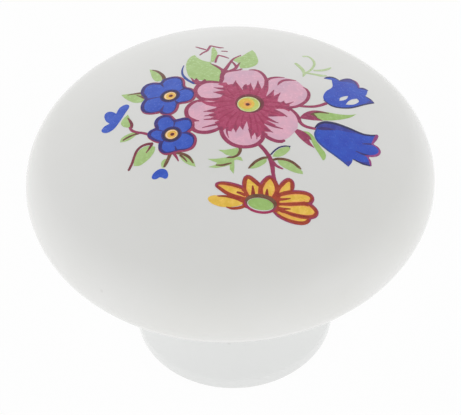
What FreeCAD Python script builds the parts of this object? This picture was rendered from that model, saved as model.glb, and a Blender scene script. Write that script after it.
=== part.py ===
import FreeCAD, Part
import math
import os

# A porcelain cabinet knob with a flower spray printed on its dome.
# Millimetres, +Z up along the knob's axis. The origin is the centre of the foot's face, which
# sits against the cupboard door. -Y is the side that faces the viewer.

# Porcelain body: head
HEAD_DIAMETER = 38.1
PROJECTION = 28.6
CROWN_RISE = 8.4              # from the head's widest ring up to the apex
RIM_TOP_RADIUS = 4.8          # rounding above the widest ring
RIM_UNDER_RADIUS = 4.8        # rounding below it
UNDERSIDE_SLOPE = 18.0        # degrees that the underside falls towards the neck

# Porcelain body: neck and foot
WAIST_DIAMETER = 16.4
WAIST_DROP = 11.2             # from the head's widest ring down to the waist
FOOT_DIAMETER = 20.0
FOOT_LAND = 1.6               # height of the straight band round the foot
FOOT_EDGE_RADIUS = 0.6
LAND_EDGE_RADIUS = 1.0

# Brass insert with a blind M4 thread, left plain at the tapping size
THREAD_DRILL_DIAMETER = 3.3
THREAD_LENGTH = 8.0           # plain wall between the chamfer and the drill's cone
THREAD_CHAMFER = 0.5
DRILL_POINT_ANGLE = 118.0
INSERT_WALL = 1.85            # brass round the bore
INSERT_END_WALL = 0.7         # brass beyond the drill's cone
INSERT_RECESS = 0.4           # how far the insert sits inside the foot's face
INSERT_EDGE = 0.3
GROOVE_WIDTH = 1.2
GROOVE_DEPTH = 0.5
GROOVE_COUNT = 2

# Blind socket in the foot, and the cement that holds the insert in it
CEMENT_WALL = 1.0             # cement between the insert and the socket's wall
CEMENT_CAP = 1.4              # cement between the insert and the socket's end
CEMENT_RECESS = 0.7           # its face lies this far inside the foot's face
SOCKET_CHAMFER = 0.4

# Printed spray: its width, the fired ink, stroke widths and outline widths
SPRAY_WIDTH = 25.0            # from the open bud at the left to the bell flowers at the right
INK_THICKNESS = 0.05
STEM_WIDTH = 0.30
VEIN_WIDTH = 0.22
BLOSSOM_OUTLINE = 0.27
DAISY_OUTLINE = 0.26
HEART_OUTLINE = 0.28
DAISY_HEART_LENGTH = 2.2
DAISY_HEART_WIDTH = 1.1
DAISY_HEART_TURN = -5.0       # degrees

# Sizes that follow from the ones above
HEAD_RADIUS = HEAD_DIAMETER / 2
WAIST_RADIUS = WAIST_DIAMETER / 2
FOOT_RADIUS = FOOT_DIAMETER / 2
RING_HEIGHT = PROJECTION - CROWN_RISE
WAIST_HEIGHT = RING_HEIGHT - WAIST_DROP
RIM_TOP_CENTRE = HEAD_RADIUS - RIM_TOP_RADIUS
RIM_UNDER_CENTRE = HEAD_RADIUS - RIM_UNDER_RADIUS
DRILL_RADIUS = THREAD_DRILL_DIAMETER / 2
DRILL_POINT_DEPTH = DRILL_RADIUS / math.tan(math.radians(DRILL_POINT_ANGLE / 2))
INSERT_RADIUS = DRILL_RADIUS + INSERT_WALL
INSERT_LENGTH = THREAD_CHAMFER + THREAD_LENGTH + DRILL_POINT_DEPTH + INSERT_END_WALL
SOCKET_RADIUS = INSERT_RADIUS + CEMENT_WALL
SOCKET_DEPTH = INSERT_RECESS + INSERT_LENGTH + CEMENT_CAP

# The dome's arc touches the rim's arc and is level at the apex
DOME_RADIUS = (RIM_TOP_CENTRE ** 2 + CROWN_RISE ** 2 - RIM_TOP_RADIUS ** 2) / (
    2 * (CROWN_RISE - RIM_TOP_RADIUS))
DOME_CENTRE_HEIGHT = PROJECTION - DOME_RADIUS
DOME_EDGE_ANGLE = math.atan2(RING_HEIGHT - DOME_CENTRE_HEIGHT, RIM_TOP_CENTRE)
DOME_EDGE_RADIUS = DOME_RADIUS * math.cos(DOME_EDGE_ANGLE)

# Smallest distance that still counts as two different points
SAME_POINT = 0.001


def at(radius, height):
    """A point of a turned profile, in the XZ plane."""
    return FreeCAD.Vector(radius, 0, height)


def round_run(centre, radius, start, end):
    """An arc of a turned profile about a centre, from one angle to another, in radians."""
    points = []
    for angle in (start, (start + end) / 2, end):
        points.append(at(centre[0] + radius * math.cos(angle), centre[1] + radius * math.sin(angle)))
    return Part.Arc(points[0], points[1], points[2]).toShape()


def end_of(edge):
    """The last point of a run of the profile."""
    return edge.valueAt(edge.LastParameter)


def start_of(edge):
    """The first point of a run of the profile."""
    return edge.valueAt(edge.FirstParameter)


def turned(points_and_runs):
    """A solid turned about Z from points and arcs in order, joined by straight lines."""
    edges = []
    first = None
    last = None
    for item in points_and_runs:
        is_point = isinstance(item, FreeCAD.Vector)
        begin = item if is_point else start_of(item)
        if first is None:
            first = begin
        elif begin.distanceToPoint(last) > SAME_POINT:
            edges.append(Part.makeLine(last, begin))
        if not is_point:
            edges.append(item)
        last = item if is_point else end_of(item)
    edges.append(Part.makeLine(last, first))
    section = Part.Face(Part.Wire(edges))
    return section.revolve(FreeCAD.Vector(0, 0, 0), FreeCAD.Vector(0, 0, 1), 360)


def edge_at(solid, radius, height):
    """The round edge of a turned solid that has this radius and height."""
    for edge in solid.Edges:
        box = edge.BoundBox
        level = box.ZLength < SAME_POINT and abs(box.ZMin - height) < SAME_POINT
        if level and abs(box.XMax - radius) < SAME_POINT:
            return edge


def make_knob_body():
    """The porcelain casting: socket, foot, waisted neck, rounded rim and dome, turned in one."""
    quarter = math.pi / 2
    foot_arc = round_run((FOOT_RADIUS - FOOT_EDGE_RADIUS, FOOT_EDGE_RADIUS), FOOT_EDGE_RADIUS,
                         -quarter, 0)
    # Hollow arc from the foot's band to the waist, upright at the waist
    step_in = FOOT_RADIUS - WAIST_RADIUS
    climb = WAIST_HEIGHT - FOOT_LAND
    hollow = (step_in ** 2 + climb ** 2) / (2 * step_in)
    lower_arc = round_run((WAIST_RADIUS + hollow, WAIST_HEIGHT), hollow,
                          math.pi + math.asin(climb / hollow), math.pi)
    # Hollow arc from the waist out to the sloping underside, and the rim's lower arc
    slope = math.radians(UNDERSIDE_SLOPE)
    rim_end = (RIM_UNDER_CENTRE + RIM_UNDER_RADIUS * math.sin(slope),
               RING_HEIGHT - RIM_UNDER_RADIUS * math.cos(slope))
    flare = ((WAIST_RADIUS - rim_end[0]) * math.sin(slope)
             + (rim_end[1] - WAIST_HEIGHT) * math.cos(slope)) / (1 - math.sin(slope))
    upper_arc = round_run((WAIST_RADIUS + flare, WAIST_HEIGHT), flare, math.pi, quarter + slope)
    under_rim = round_run((RIM_UNDER_CENTRE, RING_HEIGHT), RIM_UNDER_RADIUS, slope - quarter, 0)
    over_rim = round_run((RIM_TOP_CENTRE, RING_HEIGHT), RIM_TOP_RADIUS, 0, DOME_EDGE_ANGLE)
    dome = round_run((0, DOME_CENTRE_HEIGHT), DOME_RADIUS, DOME_EDGE_ANGLE, quarter)
    body = turned([
        at(0, SOCKET_DEPTH),
        at(SOCKET_RADIUS, SOCKET_DEPTH),
        at(SOCKET_RADIUS, SOCKET_CHAMFER),
        at(SOCKET_RADIUS + SOCKET_CHAMFER, 0),
        foot_arc,
        lower_arc,
        upper_arc,
        under_rim,
        over_rim,
        dome,
    ])
    return body.makeFillet(LAND_EDGE_RADIUS, [edge_at(body, FOOT_RADIUS, FOOT_LAND)])


def make_insert_blank():
    """The insert's outer form, with its grooves and without its bore."""
    bottom = INSERT_RECESS
    top = INSERT_RECESS + INSERT_LENGTH
    outline = [
        at(0, bottom),
        at(INSERT_RADIUS - INSERT_EDGE, bottom),
        at(INSERT_RADIUS, bottom + INSERT_EDGE),
    ]
    for groove in range(GROOVE_COUNT):
        middle = bottom + INSERT_LENGTH * (groove + 1) / (GROOVE_COUNT + 1)
        floor = INSERT_RADIUS - GROOVE_DEPTH
        outline.append(at(INSERT_RADIUS, middle - GROOVE_WIDTH / 2))
        outline.append(at(floor, middle - GROOVE_WIDTH / 2))
        outline.append(at(floor, middle + GROOVE_WIDTH / 2))
        outline.append(at(INSERT_RADIUS, middle + GROOVE_WIDTH / 2))
    outline.append(at(INSERT_RADIUS, top - INSERT_EDGE))
    outline.append(at(INSERT_RADIUS - INSERT_EDGE, top))
    outline.append(at(0, top))
    return turned(outline)


def make_thread_hole():
    """The blind hole: a chamfered mouth, the tapping bore and the drill's cone."""
    mouth = INSERT_RECESS
    wall_start = mouth + THREAD_CHAMFER
    wall_end = wall_start + THREAD_LENGTH
    return turned([
        at(0, mouth),
        at(DRILL_RADIUS + THREAD_CHAMFER, mouth),
        at(DRILL_RADIUS, wall_start),
        at(DRILL_RADIUS, wall_end),
        at(0, wall_end + DRILL_POINT_DEPTH),
    ])


def make_cement(insert_blank):
    """Cement that fills the socket round and above the insert."""
    depth = SOCKET_DEPTH - CEMENT_RECESS
    plug = Part.makeCylinder(SOCKET_RADIUS, depth, FreeCAD.Vector(0, 0, CEMENT_RECESS))
    return plug.cut(insert_blank)


# The spray is drawn flat, seen from above, and then lifted onto the dome. The drawing's own numbers
# run over this width, and are brought to SPRAY_WIDTH.
DRAWN_WIDTH = 25.0


def drawn(length):
    """A length of the drawing, in millimetres on the knob."""
    return length * SPRAY_WIDTH / DRAWN_WIDTH


def flat(point):
    """A point of the drawing, as a point in space."""
    return FreeCAD.Vector(drawn(point[0]), drawn(point[1]), 0)


def filled(edges):
    """A flat face inside edges, facing up whichever way round they were drawn."""
    return Part.Face(Part.Plane(), Part.Wire(edges))


def through(places, closed=False):
    """A smooth run through places in space."""
    curve = Part.BSplineCurve()
    curve.interpolate(places, closed)
    return curve.toShape()


def smooth(points, closed=False):
    """A smooth run through points of the drawing."""
    return through([flat(point) for point in points], closed)


def outline(*items):
    """A flat face. A tuple is a corner, a list is a smooth run, and straight lines join them."""
    edges = []
    first = None
    last = None
    for item in items:
        run = item if isinstance(item, list) else [item]
        if first is None:
            first = run[0]
        elif last != run[0]:
            edges.append(Part.makeLine(flat(last), flat(run[0])))
        if len(run) > 1:
            edges.append(smooth(run))
        last = run[-1]
    if last != first:
        edges.append(Part.makeLine(flat(last), flat(first)))
    return filled(edges)


def loop(*points):
    """A flat face inside one closed smooth curve."""
    return filled([smooth(points, True)])


def disc(centre, radius, growth=0):
    """A flat round face of the drawing, grown by a distance in millimetres."""
    return filled([Part.makeCircle(drawn(radius) + growth, flat(centre))])


def daisy_oval(growth):
    """The daisy's heart, grown by a distance."""
    curve = Part.Ellipse(FreeCAD.Vector(0, 0, 0), DAISY_HEART_LENGTH / 2 + growth,
                         DAISY_HEART_WIDTH / 2 + growth)
    face = filled([curve.toShape()])
    face.rotate(FreeCAD.Vector(0, 0, 0), FreeCAD.Vector(0, 0, 1), DAISY_HEART_TURN)
    face.translate(flat(DAISY_HEART))
    return face


def leaf(base, one_side, tip, other_side):
    """A pointed leaf: one arc out to the tip and one arc back."""
    out = Part.Arc(flat(base), flat(one_side), flat(tip)).toShape()
    back = Part.Arc(flat(tip), flat(other_side), flat(base)).toShape()
    return filled([out, back])


def stroke(start, middle, end, width):
    """A pen stroke of even width along an arc."""
    spine = Part.Arc(flat(start), flat(middle), flat(end)).toShape()
    centre = spine.Curve.Center
    outer = []
    inner = []
    for point in (start, middle, end):
        across = flat(point).sub(centre).normalize().multiply(width / 2)
        outer.append(flat(point).add(across))
        inner.append(flat(point).sub(across))
    return filled([
        Part.Arc(outer[0], outer[1], outer[2]).toShape(),
        Part.makeLine(outer[2], inner[2]),
        Part.Arc(inner[2], inner[1], inner[0]).toShape(),
        Part.makeLine(inner[0], outer[0]),
    ])


def joined(faces):
    """One flat field from faces that may overlap."""
    pieces = faces[0].fuse(faces[1:]).Faces
    return Part.makeShell(pieces).removeSplitter()


# The large flower: six pink petals with fringed inner ends
ROSE_HEART = (1.88, 0.15)
ROSE_HEART_RADIUS = 1.05
ROSE_CORE = (1.5, 0.0)
ROSE_CORE_RADIUS = 3.25


def rose_fields():
    """The pink inside of each petal. The corners are the fringe where the dark heart reaches in."""
    return [
        outline([(0.0, 3.3), (-0.22, 4.2), (0.1, 4.98), (0.9, 5.22), (1.8, 5.4), (2.7, 5.22),
                 (3.3, 4.6), (3.45, 3.6), (3.35, 3.0)],
                (3.12, 2.4), (2.88, 3.6), (2.42, 2.15), (2.2, 3.1), (1.6, 2.95), (1.38, 2.1),
                (0.82, 3.55), (0.5, 3.05)),
        outline([(-0.8, 1.2), (-1.6, 1.18), (-2.4, 1.5), (-2.68, 2.3), (-2.35, 3.1),
                 (-1.7, 3.38), (-1.0, 3.22), (-0.35, 2.85)],
                (-0.45, 2.55), (-1.15, 2.68), (-0.25, 2.1), (-1.2, 2.0), (-0.4, 1.5)),
        outline([(-0.95, -0.15), (-1.6, 0.2), (-2.3, 0.72), (-3.1, 0.4), (-3.5, -0.3),
                 (-3.4, -1.0), (-2.85, -1.5)],
                (-2.6, -1.72),
                [(-2.95, -2.1), (-3.0, -2.6), (-2.5, -2.92), (-1.8, -2.95), (-1.05, -2.65)],
                (-2.25, -2.6), (-0.8, -1.9), (-2.1, -1.65), (-1.1, -1.4), (-2.1, -1.1),
                (-1.1, -0.85), (-2.1, -0.6)),
        outline([(-0.35, -2.95), (-0.3, -3.7), (0.1, -4.4), (0.9, -4.82), (1.8, -4.82),
                 (2.5, -4.4), (2.85, -3.65)],
                (2.5, -4.1), (2.3, -3.35), (1.97, -4.1), (1.62, -2.1), (1.25, -3.1), (1.0, -2.6),
                (0.65, -3.35), (0.4, -2.9), (0.02, -3.95)),
        outline([(4.2, -0.5), (4.9, -0.35), (5.6, -0.7), (6.05, -1.4), (6.2, -2.2), (5.9, -3.0),
                 (5.3, -3.8), (4.8, -4.15), (4.0, -3.95), (3.15, -3.2)],
                (3.85, -3.3), (3.15, -2.4), (4.75, -2.8), (3.5, -1.95), (4.35, -2.1),
                (3.45, -1.4), (5.2, -1.3)),
        outline([(3.6, 2.2), (3.75, 3.2), (3.95, 3.95), (4.7, 4.3), (5.6, 4.3), (6.5, 3.9),
                 (7.05, 3.1), (7.15, 2.1), (6.9, 1.2), (6.2, 0.5), (5.45, 0.3)],
                (5.95, 0.75), (5.2, 0.35), (5.1, 0.85), (4.45, 0.65), (4.75, 1.95), (4.15, 1.4),
                (4.25, 2.25), (3.45, 1.3)),
    ]


def rose_edges():
    """The dark outline of each petal, before the pink field is taken out of it."""
    return [
        loop((-0.5, 2.6), (-0.62, 4.0), (-0.35, 5.15), (0.6, 5.48), (1.8, 5.32), (2.8, 5.53),
             (3.5, 4.95), (3.78, 4.0), (3.7, 2.6), (1.6, 1.8)),
        loop((-0.1, 0.9), (-1.6, 0.92), (-2.6, 1.12), (-2.97, 2.1), (-2.8, 3.05), (-2.1, 3.68),
             (-1.2, 3.62), (-0.2, 3.3)),
        loop((-0.4, 0.9), (-2.1, 1.02), (-3.2, 0.75), (-3.85, 0.0), (-3.85, -0.9), (-3.35, -1.7),
             (-3.3, -2.5), (-2.8, -3.2), (-1.9, -3.4), (-0.8, -3.05), (0.2, -1.0)),
        loop((-0.85, -2.6), (-0.72, -3.8), (-0.15, -4.7), (0.8, -5.15), (1.9, -5.15),
             (2.75, -4.7), (3.15, -3.9), (2.9, -2.6), (1.0, -1.6)),
        loop((3.6, -0.2), (5.0, -0.05), (5.9, -0.4), (6.4, -1.3), (6.1, -2.3), (5.4, -3.4),
             (4.85, -4.45), (4.0, -4.4), (3.1, -3.8), (2.6, -2.0)),
        loop((2.8, 1.2), (3.45, 3.2), (3.75, 4.1), (4.5, 4.5), (5.4, 4.5), (6.3, 4.1),
             (6.8, 3.3), (7.35, 2.9), (7.5, 2.1), (7.2, 1.1), (6.5, 0.35), (5.6, 0.0), (4.0, -0.2)),
    ]


# The two five-petal flowers: the centre and radius of each petal's round end
BLOSSOMS = [
    {"heart": (-5.2, 2.1),
     "petals": [((-5.0, 3.75), 0.95), ((-4.05, 2.0), 0.88), ((-5.15, 0.65), 0.8),
                ((-6.65, 1.15), 0.87), ((-6.7, 3.4), 0.9)]},
    {"heart": (-5.05, -3.0),
     "petals": [((-5.65, -1.5), 0.65), ((-3.95, -2.15), 0.68), ((-3.85, -4.15), 0.75),
                ((-5.15, -4.3), 0.7), ((-6.3, -2.9), 0.7)]},
]
BLOSSOM_HEART_RADIUS = 0.55

# The half daisy: the tip and half width of each petal, round an oval heart
DAISY_HEART = (2.55, -10.72)
DAISY_PETALS = [
    ((-1.75, -10.3), 0.42), ((-0.9, -8.95), 0.26), ((1.6, -8.35), 0.36), ((3.5, -8.35), 0.4),
    ((5.1, -8.5), 0.36), ((6.85, -9.85), 0.34), ((7.05, -11.1), 0.32), ((6.3, -11.95), 0.26),
]
DAISY_PETAL_FOOT = 0.22        # how far from the middle of the heart a petal starts, as a share


def blossom_field(blossom, growth):
    """The five petals of a flower as one field, grown by a distance."""
    faces = [disc(centre, radius, growth) for centre, radius in blossom["petals"]]
    corners = [centre for centre, radius in blossom["petals"]]
    faces.append(outline(*corners))
    return joined(faces)


def daisy_petal(tip, half_width, growth):
    """A daisy petal from inside the heart to its tip, widest two thirds of the way out."""
    base = flat(DAISY_HEART).add(flat(tip).sub(flat(DAISY_HEART)).multiply(DAISY_PETAL_FOOT))
    along = flat(tip).sub(base)
    length = along.Length
    ahead = FreeCAD.Vector(along).normalize()
    aside = FreeCAD.Vector(-ahead.y, ahead.x, 0)
    wide = drawn(half_width) + growth
    stations = [(0.0, 0.35), (0.35, 0.8), (0.65, 1.0), (0.88, 0.72)]
    left = []
    right = []
    for share, part in stations:
        middle = base.add(FreeCAD.Vector(ahead).multiply(length * share))
        offset = FreeCAD.Vector(aside).multiply(wide * part)
        left.append(middle.add(offset))
        right.append(middle.sub(offset))
    peak = base.add(FreeCAD.Vector(ahead).multiply(length + growth))
    rim = through(left + [peak] + right[::-1])
    return filled([rim, Part.makeLine(right[0], left[0])])


def bell_fields():
    """The two blue bell flowers at the right of the spray."""
    upper = outline(
        [(8.95, 1.25), (8.72, 2.0), (9.05, 3.0), (9.7, 3.9), (9.75, 5.1)],
        [(9.05, 5.12), (9.7, 5.58), (10.5, 5.22)],
        [(10.5, 5.22), (11.1, 5.7), (11.65, 5.97), (12.1, 5.5), (12.2, 4.8)],
        [(12.2, 4.8), (12.7, 4.95), (13.1, 4.8)],
        [(13.1, 4.8), (12.95, 4.1), (12.75, 3.6)],
        [(12.75, 3.6), (13.2, 3.35), (13.55, 2.9)],
        [(13.55, 2.9), (12.3, 2.1), (11.2, 1.25), (10.2, 0.93), (8.95, 1.25)])
    glints = [leaf((10.2, 1.92), (10.5, 2.55), (11.1, 3.0), (10.8, 2.35)),
              leaf((10.85, 1.55), (11.25, 2.35), (12.0, 2.8), (11.75, 2.05))]
    lower = outline(
        [(8.0, -1.85), (8.4, -1.45), (9.3, -1.35), (10.5, -1.6), (11.8, -2.0), (12.8, -1.85),
         (13.4, -1.65)],
        [(13.4, -1.65), (13.3, -2.2), (12.9, -2.9)],
        [(12.9, -2.9), (13.3, -3.2), (13.45, -3.6), (13.2, -4.1), (12.4, -4.5)],
        [(12.4, -4.5), (12.3, -5.0), (12.4, -5.6)],
        [(12.4, -5.6), (11.7, -5.5), (10.85, -5.25)],
        [(10.85, -5.25), (10.7, -5.7), (10.4, -6.15)],
        [(10.4, -6.15), (9.5, -5.3), (8.5, -4.6), (7.8, -3.8), (7.6, -3.0), (8.0, -1.85)])
    return [upper.cut(glints), lower]


def bud_fields():
    """The open bud at the far left and the small round bud below it."""
    return [
        outline([(-11.3, 1.8), (-10.7, 1.6), (-10.15, 1.15)],
                [(-10.15, 1.15), (-9.8, 1.9), (-9.2, 2.1), (-8.95, 1.7), (-9.3, 0.9),
                 (-9.9, -0.3), (-10.4, -0.95), (-11.0, -1.1), (-11.45, -0.7), (-11.2, -0.2),
                 (-10.7, 0.0)],
                [(-10.7, 0.0), (-11.15, 0.7), (-11.3, 1.8)]),
        outline([(-6.8, -7.3), (-6.5, -6.85), (-6.05, -6.65), (-5.6, -6.8), (-5.38, -7.3),
                 (-5.45, -7.75)],
                [(-5.45, -7.75), (-5.8, -7.65), (-6.1, -7.5)],
                [(-6.1, -7.5), (-6.5, -7.6), (-6.8, -7.3)]),
    ]


def green_fields():
    """The leaves, the ragged leaf under the large flower and the pale sprig."""
    return [
        leaf((-6.1, 4.75), (-7.0, 5.8), (-7.15, 7.3), (-6.2, 6.2)),
        leaf((-7.6, 2.2), (-9.0, 2.6), (-9.75, 3.9), (-8.3, 3.35)),
        leaf((-8.95, -1.1), (-9.65, -0.3), (-9.1, 0.6), (-8.75, -0.3)),
        leaf((-8.3, -2.1), (-9.1, -2.0), (-9.75, -2.6), (-8.9, -2.75)),
        outline([(-7.9, -4.1), (-7.0, -3.85), (-6.45, -4.15), (-6.7, -4.8), (-7.3, -5.55),
                 (-8.0, -5.9), (-8.45, -5.75)], (-8.2, -4.9)),
        leaf((-4.6, -5.3), (-3.5, -5.75), (-2.95, -6.85), (-4.0, -6.35)),
        outline([(-0.55, 3.6), (-0.55, 4.8), (-0.8, 5.9), (-1.5, 6.8)],
                [(-1.5, 6.8), (-2.3, 7.4), (-2.65, 8.0), (-2.85, 8.7)],
                [(-2.85, 8.7), (-3.35, 8.55), (-3.72, 7.4), (-3.75, 6.0), (-3.5, 4.9),
                 (-3.2, 4.1)]),
        leaf((-1.45, 7.0), (-1.45, 8.6), (-1.1, 10.0), (-0.85, 8.5)),
        outline([(1.25, 5.6), (0.85, 6.4), (0.75, 7.1), (1.35, 8.1), (2.45, 9.3)],
                [(2.45, 9.3), (2.85, 8.3), (2.95, 7.2), (2.7, 6.3), (2.0, 5.8), (1.25, 5.6)]),
        outline([(7.6, -0.65), (8.4, -0.25), (9.7, -0.05), (11.55, 0.4)],
                [(11.55, 0.4), (10.9, -0.2), (10.0, -0.7), (8.9, -1.15), (7.9, -1.0)]),
        leaf((7.3, -3.2), (7.35, -4.7), (8.2, -5.95), (8.0, -4.6)),
        leaf((3.7, -6.05), (4.3, -5.15), (5.35, -4.85), (4.8, -5.75)),
        leaf((3.2, -6.25), (2.3, -6.6), (1.75, -7.4), (2.7, -7.0)),
        leaf((4.0, -6.35), (5.3, -6.55), (6.35, -7.6), (4.9, -7.25)),
        outline((-1.0, -5.25), (0.7, -5.2), (0.8, -5.8), (0.2, -6.1), (1.1, -6.2), (1.05, -6.5),
                (0.4, -6.4), (0.3, -7.85), (-0.05, -7.0), (-1.85, -7.05), (-0.9, -6.75),
                (-1.85, -6.2), (-0.4, -6.05)),
        stroke((6.5, 7.15), (6.85, 6.4), (7.2, 5.3), STEM_WIDTH),
        stroke((7.35, 8.85), (8.25, 7.9), (7.3, 5.3), VEIN_WIDTH),
        stroke((8.0, 6.3), (9.0, 6.65), (9.9, 7.4), VEIN_WIDTH),
        stroke((7.7, 5.7), (8.6, 5.65), (9.4, 5.8), VEIN_WIDTH),
    ]


def pen_strokes():
    """Stems, twigs and the dark sides of the leaves. The finest veins are left out."""
    return [
        stroke((6.7, 0.35), (8.0, 0.5), (9.0, 1.2), STEM_WIDTH),
        stroke((6.1, -1.0), (6.5, -2.0), (7.75, -2.42), STEM_WIDTH),
        stroke((2.75, -4.9), (3.45, -6.1), (3.85, -8.4), STEM_WIDTH),
        stroke((-8.7, -1.2), (-8.3, -1.9), (-6.9, -2.6), STEM_WIDTH),
        stroke((-6.95, 7.0), (-6.25, 6.2), (-5.8, 4.7), VEIN_WIDTH),
        stroke((-9.1, 3.5), (-8.2, 3.4), (-7.3, 2.9), VEIN_WIDTH),
        stroke((-9.0, 0.3), (-8.65, -0.5), (-8.6, -1.4), VEIN_WIDTH),
        stroke((-8.85, -6.1), (-8.2, -4.2), (-6.7, -3.65), VEIN_WIDTH),
        stroke((-5.1, -5.1), (-5.3, -5.9), (-5.75, -6.5), STEM_WIDTH),
        stroke((-4.6, -5.2), (-3.7, -5.6), (-3.15, -6.5), STEM_WIDTH),
        stroke((-1.5, 6.8), (-0.8, 6.2), (-0.2, 5.2), VEIN_WIDTH),
        stroke((-0.3, 5.2), (0.3, 6.8), (1.4, 8.25), VEIN_WIDTH),
        stroke((-2.45, 8.7), (-1.85, 9.4), (-1.45, 10.65), VEIN_WIDTH),
        stroke((-1.45, 10.65), (-1.0, 10.25), (-0.35, 9.95), VEIN_WIDTH),
        leaf((6.4, -1.25), (7.3, -0.2), (9.1, -0.2), (7.5, -0.75)),
        leaf((6.4, -1.2), (7.3, -0.85), (8.5, -1.22), (7.4, -1.4)),
        leaf((5.65, -2.75), (6.7, -3.0), (7.5, -4.75), (6.4, -3.8)),
        stroke((3.2, -6.15), (2.3, -6.45), (1.65, -7.25), VEIN_WIDTH),
        stroke((3.8, -6.35), (5.1, -6.32), (6.15, -7.1), VEIN_WIDTH),
        stroke((0.95, -5.1), (0.75, -5.85), (0.1, -6.2), VEIN_WIDTH),
    ]


def on_dome(field):
    """The fired ink of a flat field: the skin of the dome that lies under each of its faces."""
    skin = dome_skin()
    films = []
    for face in field.Faces:
        column = face.extrude(FreeCAD.Vector(0, 0, 2 * PROJECTION))
        films.extend(skin.common(column).Solids)
    return Part.makeCompound(films)


def dome_skin():
    """A skin as thick as the ink on the dome, ending where the dome rounds over into the rim."""
    centre = FreeCAD.Vector(0, 0, DOME_CENTRE_HEIGHT)
    grown = Part.makeSphere(DOME_RADIUS + INK_THICKNESS)
    glaze = Part.makeSphere(DOME_RADIUS)
    skin = grown.cut(glaze)
    # The ball's seam is turned to the underside, away from the print
    skin.rotate(FreeCAD.Vector(0, 0, 0), FreeCAD.Vector(0, 1, 0), 90)
    skin.translate(centre)
    trim = Part.makeCylinder(DOME_EDGE_RADIUS, PROJECTION, FreeCAD.Vector(0, 0, RING_HEIGHT))
    return skin.common(trim)


def make_print():
    """The five inks, drawn flat, cut clear of one another and laid on the dome."""
    rose_heart = disc(ROSE_HEART, ROSE_HEART_RADIUS)
    fold = stroke((4.65, 3.1), (5.15, 3.85), (6.3, 4.1), VEIN_WIDTH)
    pink = joined(rose_fields()).cut(fold)
    rose_outline = joined(rose_edges() + [disc(ROSE_CORE, ROSE_CORE_RADIUS)])

    blossoms = []
    blossom_outlines = []
    hearts = [rose_heart]
    for blossom in BLOSSOMS:
        heart = disc(blossom["heart"], BLOSSOM_HEART_RADIUS)
        ring = disc(blossom["heart"], BLOSSOM_HEART_RADIUS, HEART_OUTLINE)
        petals = blossom_field(blossom, 0)
        blossoms.append(petals.cut(ring))
        blossom_outlines.append(blossom_field(blossom, BLOSSOM_OUTLINE).cut(petals))
        blossom_outlines.append(ring)
        hearts.append(heart)
    blue = Part.makeCompound(blossoms + bell_fields() + bud_fields())

    daisy_heart = daisy_oval(0)
    daisy_ring = daisy_oval(HEART_OUTLINE)
    petals = [daisy_petal(tip, half_width, 0).cut(daisy_ring) for tip, half_width in DAISY_PETALS]
    petal_edges = [daisy_petal(tip, half_width, DAISY_OUTLINE) for tip, half_width in DAISY_PETALS]
    daisy_outline = joined(petal_edges + [daisy_ring])
    yellow = Part.makeCompound(petals + hearts)

    dark = joined([rose_outline, daisy_outline] + blossom_outlines + pen_strokes() + [fold])
    magenta = dark.cut([pink, yellow, blue, daisy_heart])
    green = joined(green_fields() + [daisy_heart]).cut([magenta, pink, yellow, blue])
    return {
        "print_pink": on_dome(pink),
        "print_magenta": on_dome(magenta),
        "print_green": on_dome(green),
        "print_blue": on_dome(blue),
        "print_yellow": on_dome(yellow),
    }


def main():
    """Make every piece and write one STEP file for each."""
    os.makedirs("parts", exist_ok=True)
    blank = make_insert_blank()
    pieces = {
        "knob_body": make_knob_body(),
        "threaded_insert": blank.cut(make_thread_hole()),
        "insert_cement": make_cement(blank),
    }
    pieces.update(make_print())
    for name, shape in pieces.items():
        shape.exportStep("parts/" + name + ".step")
        print(name, "solids", len(shape.Solids), "volume", round(shape.Volume, 2),
              "valid", shape.isValid())


main()
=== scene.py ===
# %% [markdown]
# A porcelain cabinet knob with a printed flower spray. The CAD model fixes its size and its pieces. This
# scene gives each piece its real surface: the glazed body, the fired print, and the threaded insert
# that sits in the foot. The first cell loads the CAD model.

# %% Load the frame
import math

import bmesh
import bpy
import numpy as np
from mathutils import Matrix, Vector, noise
from mathutils.geometry import delaunay_2d_cdt, interpolate_bezier


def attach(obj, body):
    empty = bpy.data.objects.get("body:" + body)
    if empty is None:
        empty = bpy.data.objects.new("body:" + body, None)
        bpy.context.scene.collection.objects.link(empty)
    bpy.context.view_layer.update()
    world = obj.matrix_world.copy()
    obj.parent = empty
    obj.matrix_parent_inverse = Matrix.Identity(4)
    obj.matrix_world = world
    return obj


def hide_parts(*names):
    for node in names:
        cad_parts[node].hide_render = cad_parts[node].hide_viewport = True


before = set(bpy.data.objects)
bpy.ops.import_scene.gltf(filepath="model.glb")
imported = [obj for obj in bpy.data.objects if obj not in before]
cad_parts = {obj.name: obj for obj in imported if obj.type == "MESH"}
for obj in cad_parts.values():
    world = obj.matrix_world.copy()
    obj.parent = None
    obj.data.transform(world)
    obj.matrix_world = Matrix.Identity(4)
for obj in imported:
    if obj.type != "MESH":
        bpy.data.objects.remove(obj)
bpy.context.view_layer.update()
MM = 0.001
print("nodes:", sorted(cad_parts))

# %% [markdown]
# The camera comes first, so that every later piece can be judged in the right view. Four numbers place it:
# how high it looks from, how far away it is, how much it is rolled, and how wide its lens is. They come
# from fitting the knob's outline. The rings of a turned shape look like ellipses, and how flat they are
# gives the height. How the far rings shrink gives the distance.

# %% Place the camera
CAMERA_ELEVATION = math.radians(45.405)
CAMERA_ROLL = math.radians(1.966)
CAMERA_DISTANCE = 140.0
CAMERA_TARGET = Vector((-0.059, 0.0, 15.602))
SENSOR_WIDTH = 36.0
FOCAL_PIXELS = 1459.5
IMAGE_WIDTH = 461


def placed(name, data):
    """A new object in the scene that shows some data."""
    thing = bpy.data.objects.new(name, data)
    bpy.context.scene.collection.objects.link(thing)
    return thing


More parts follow.
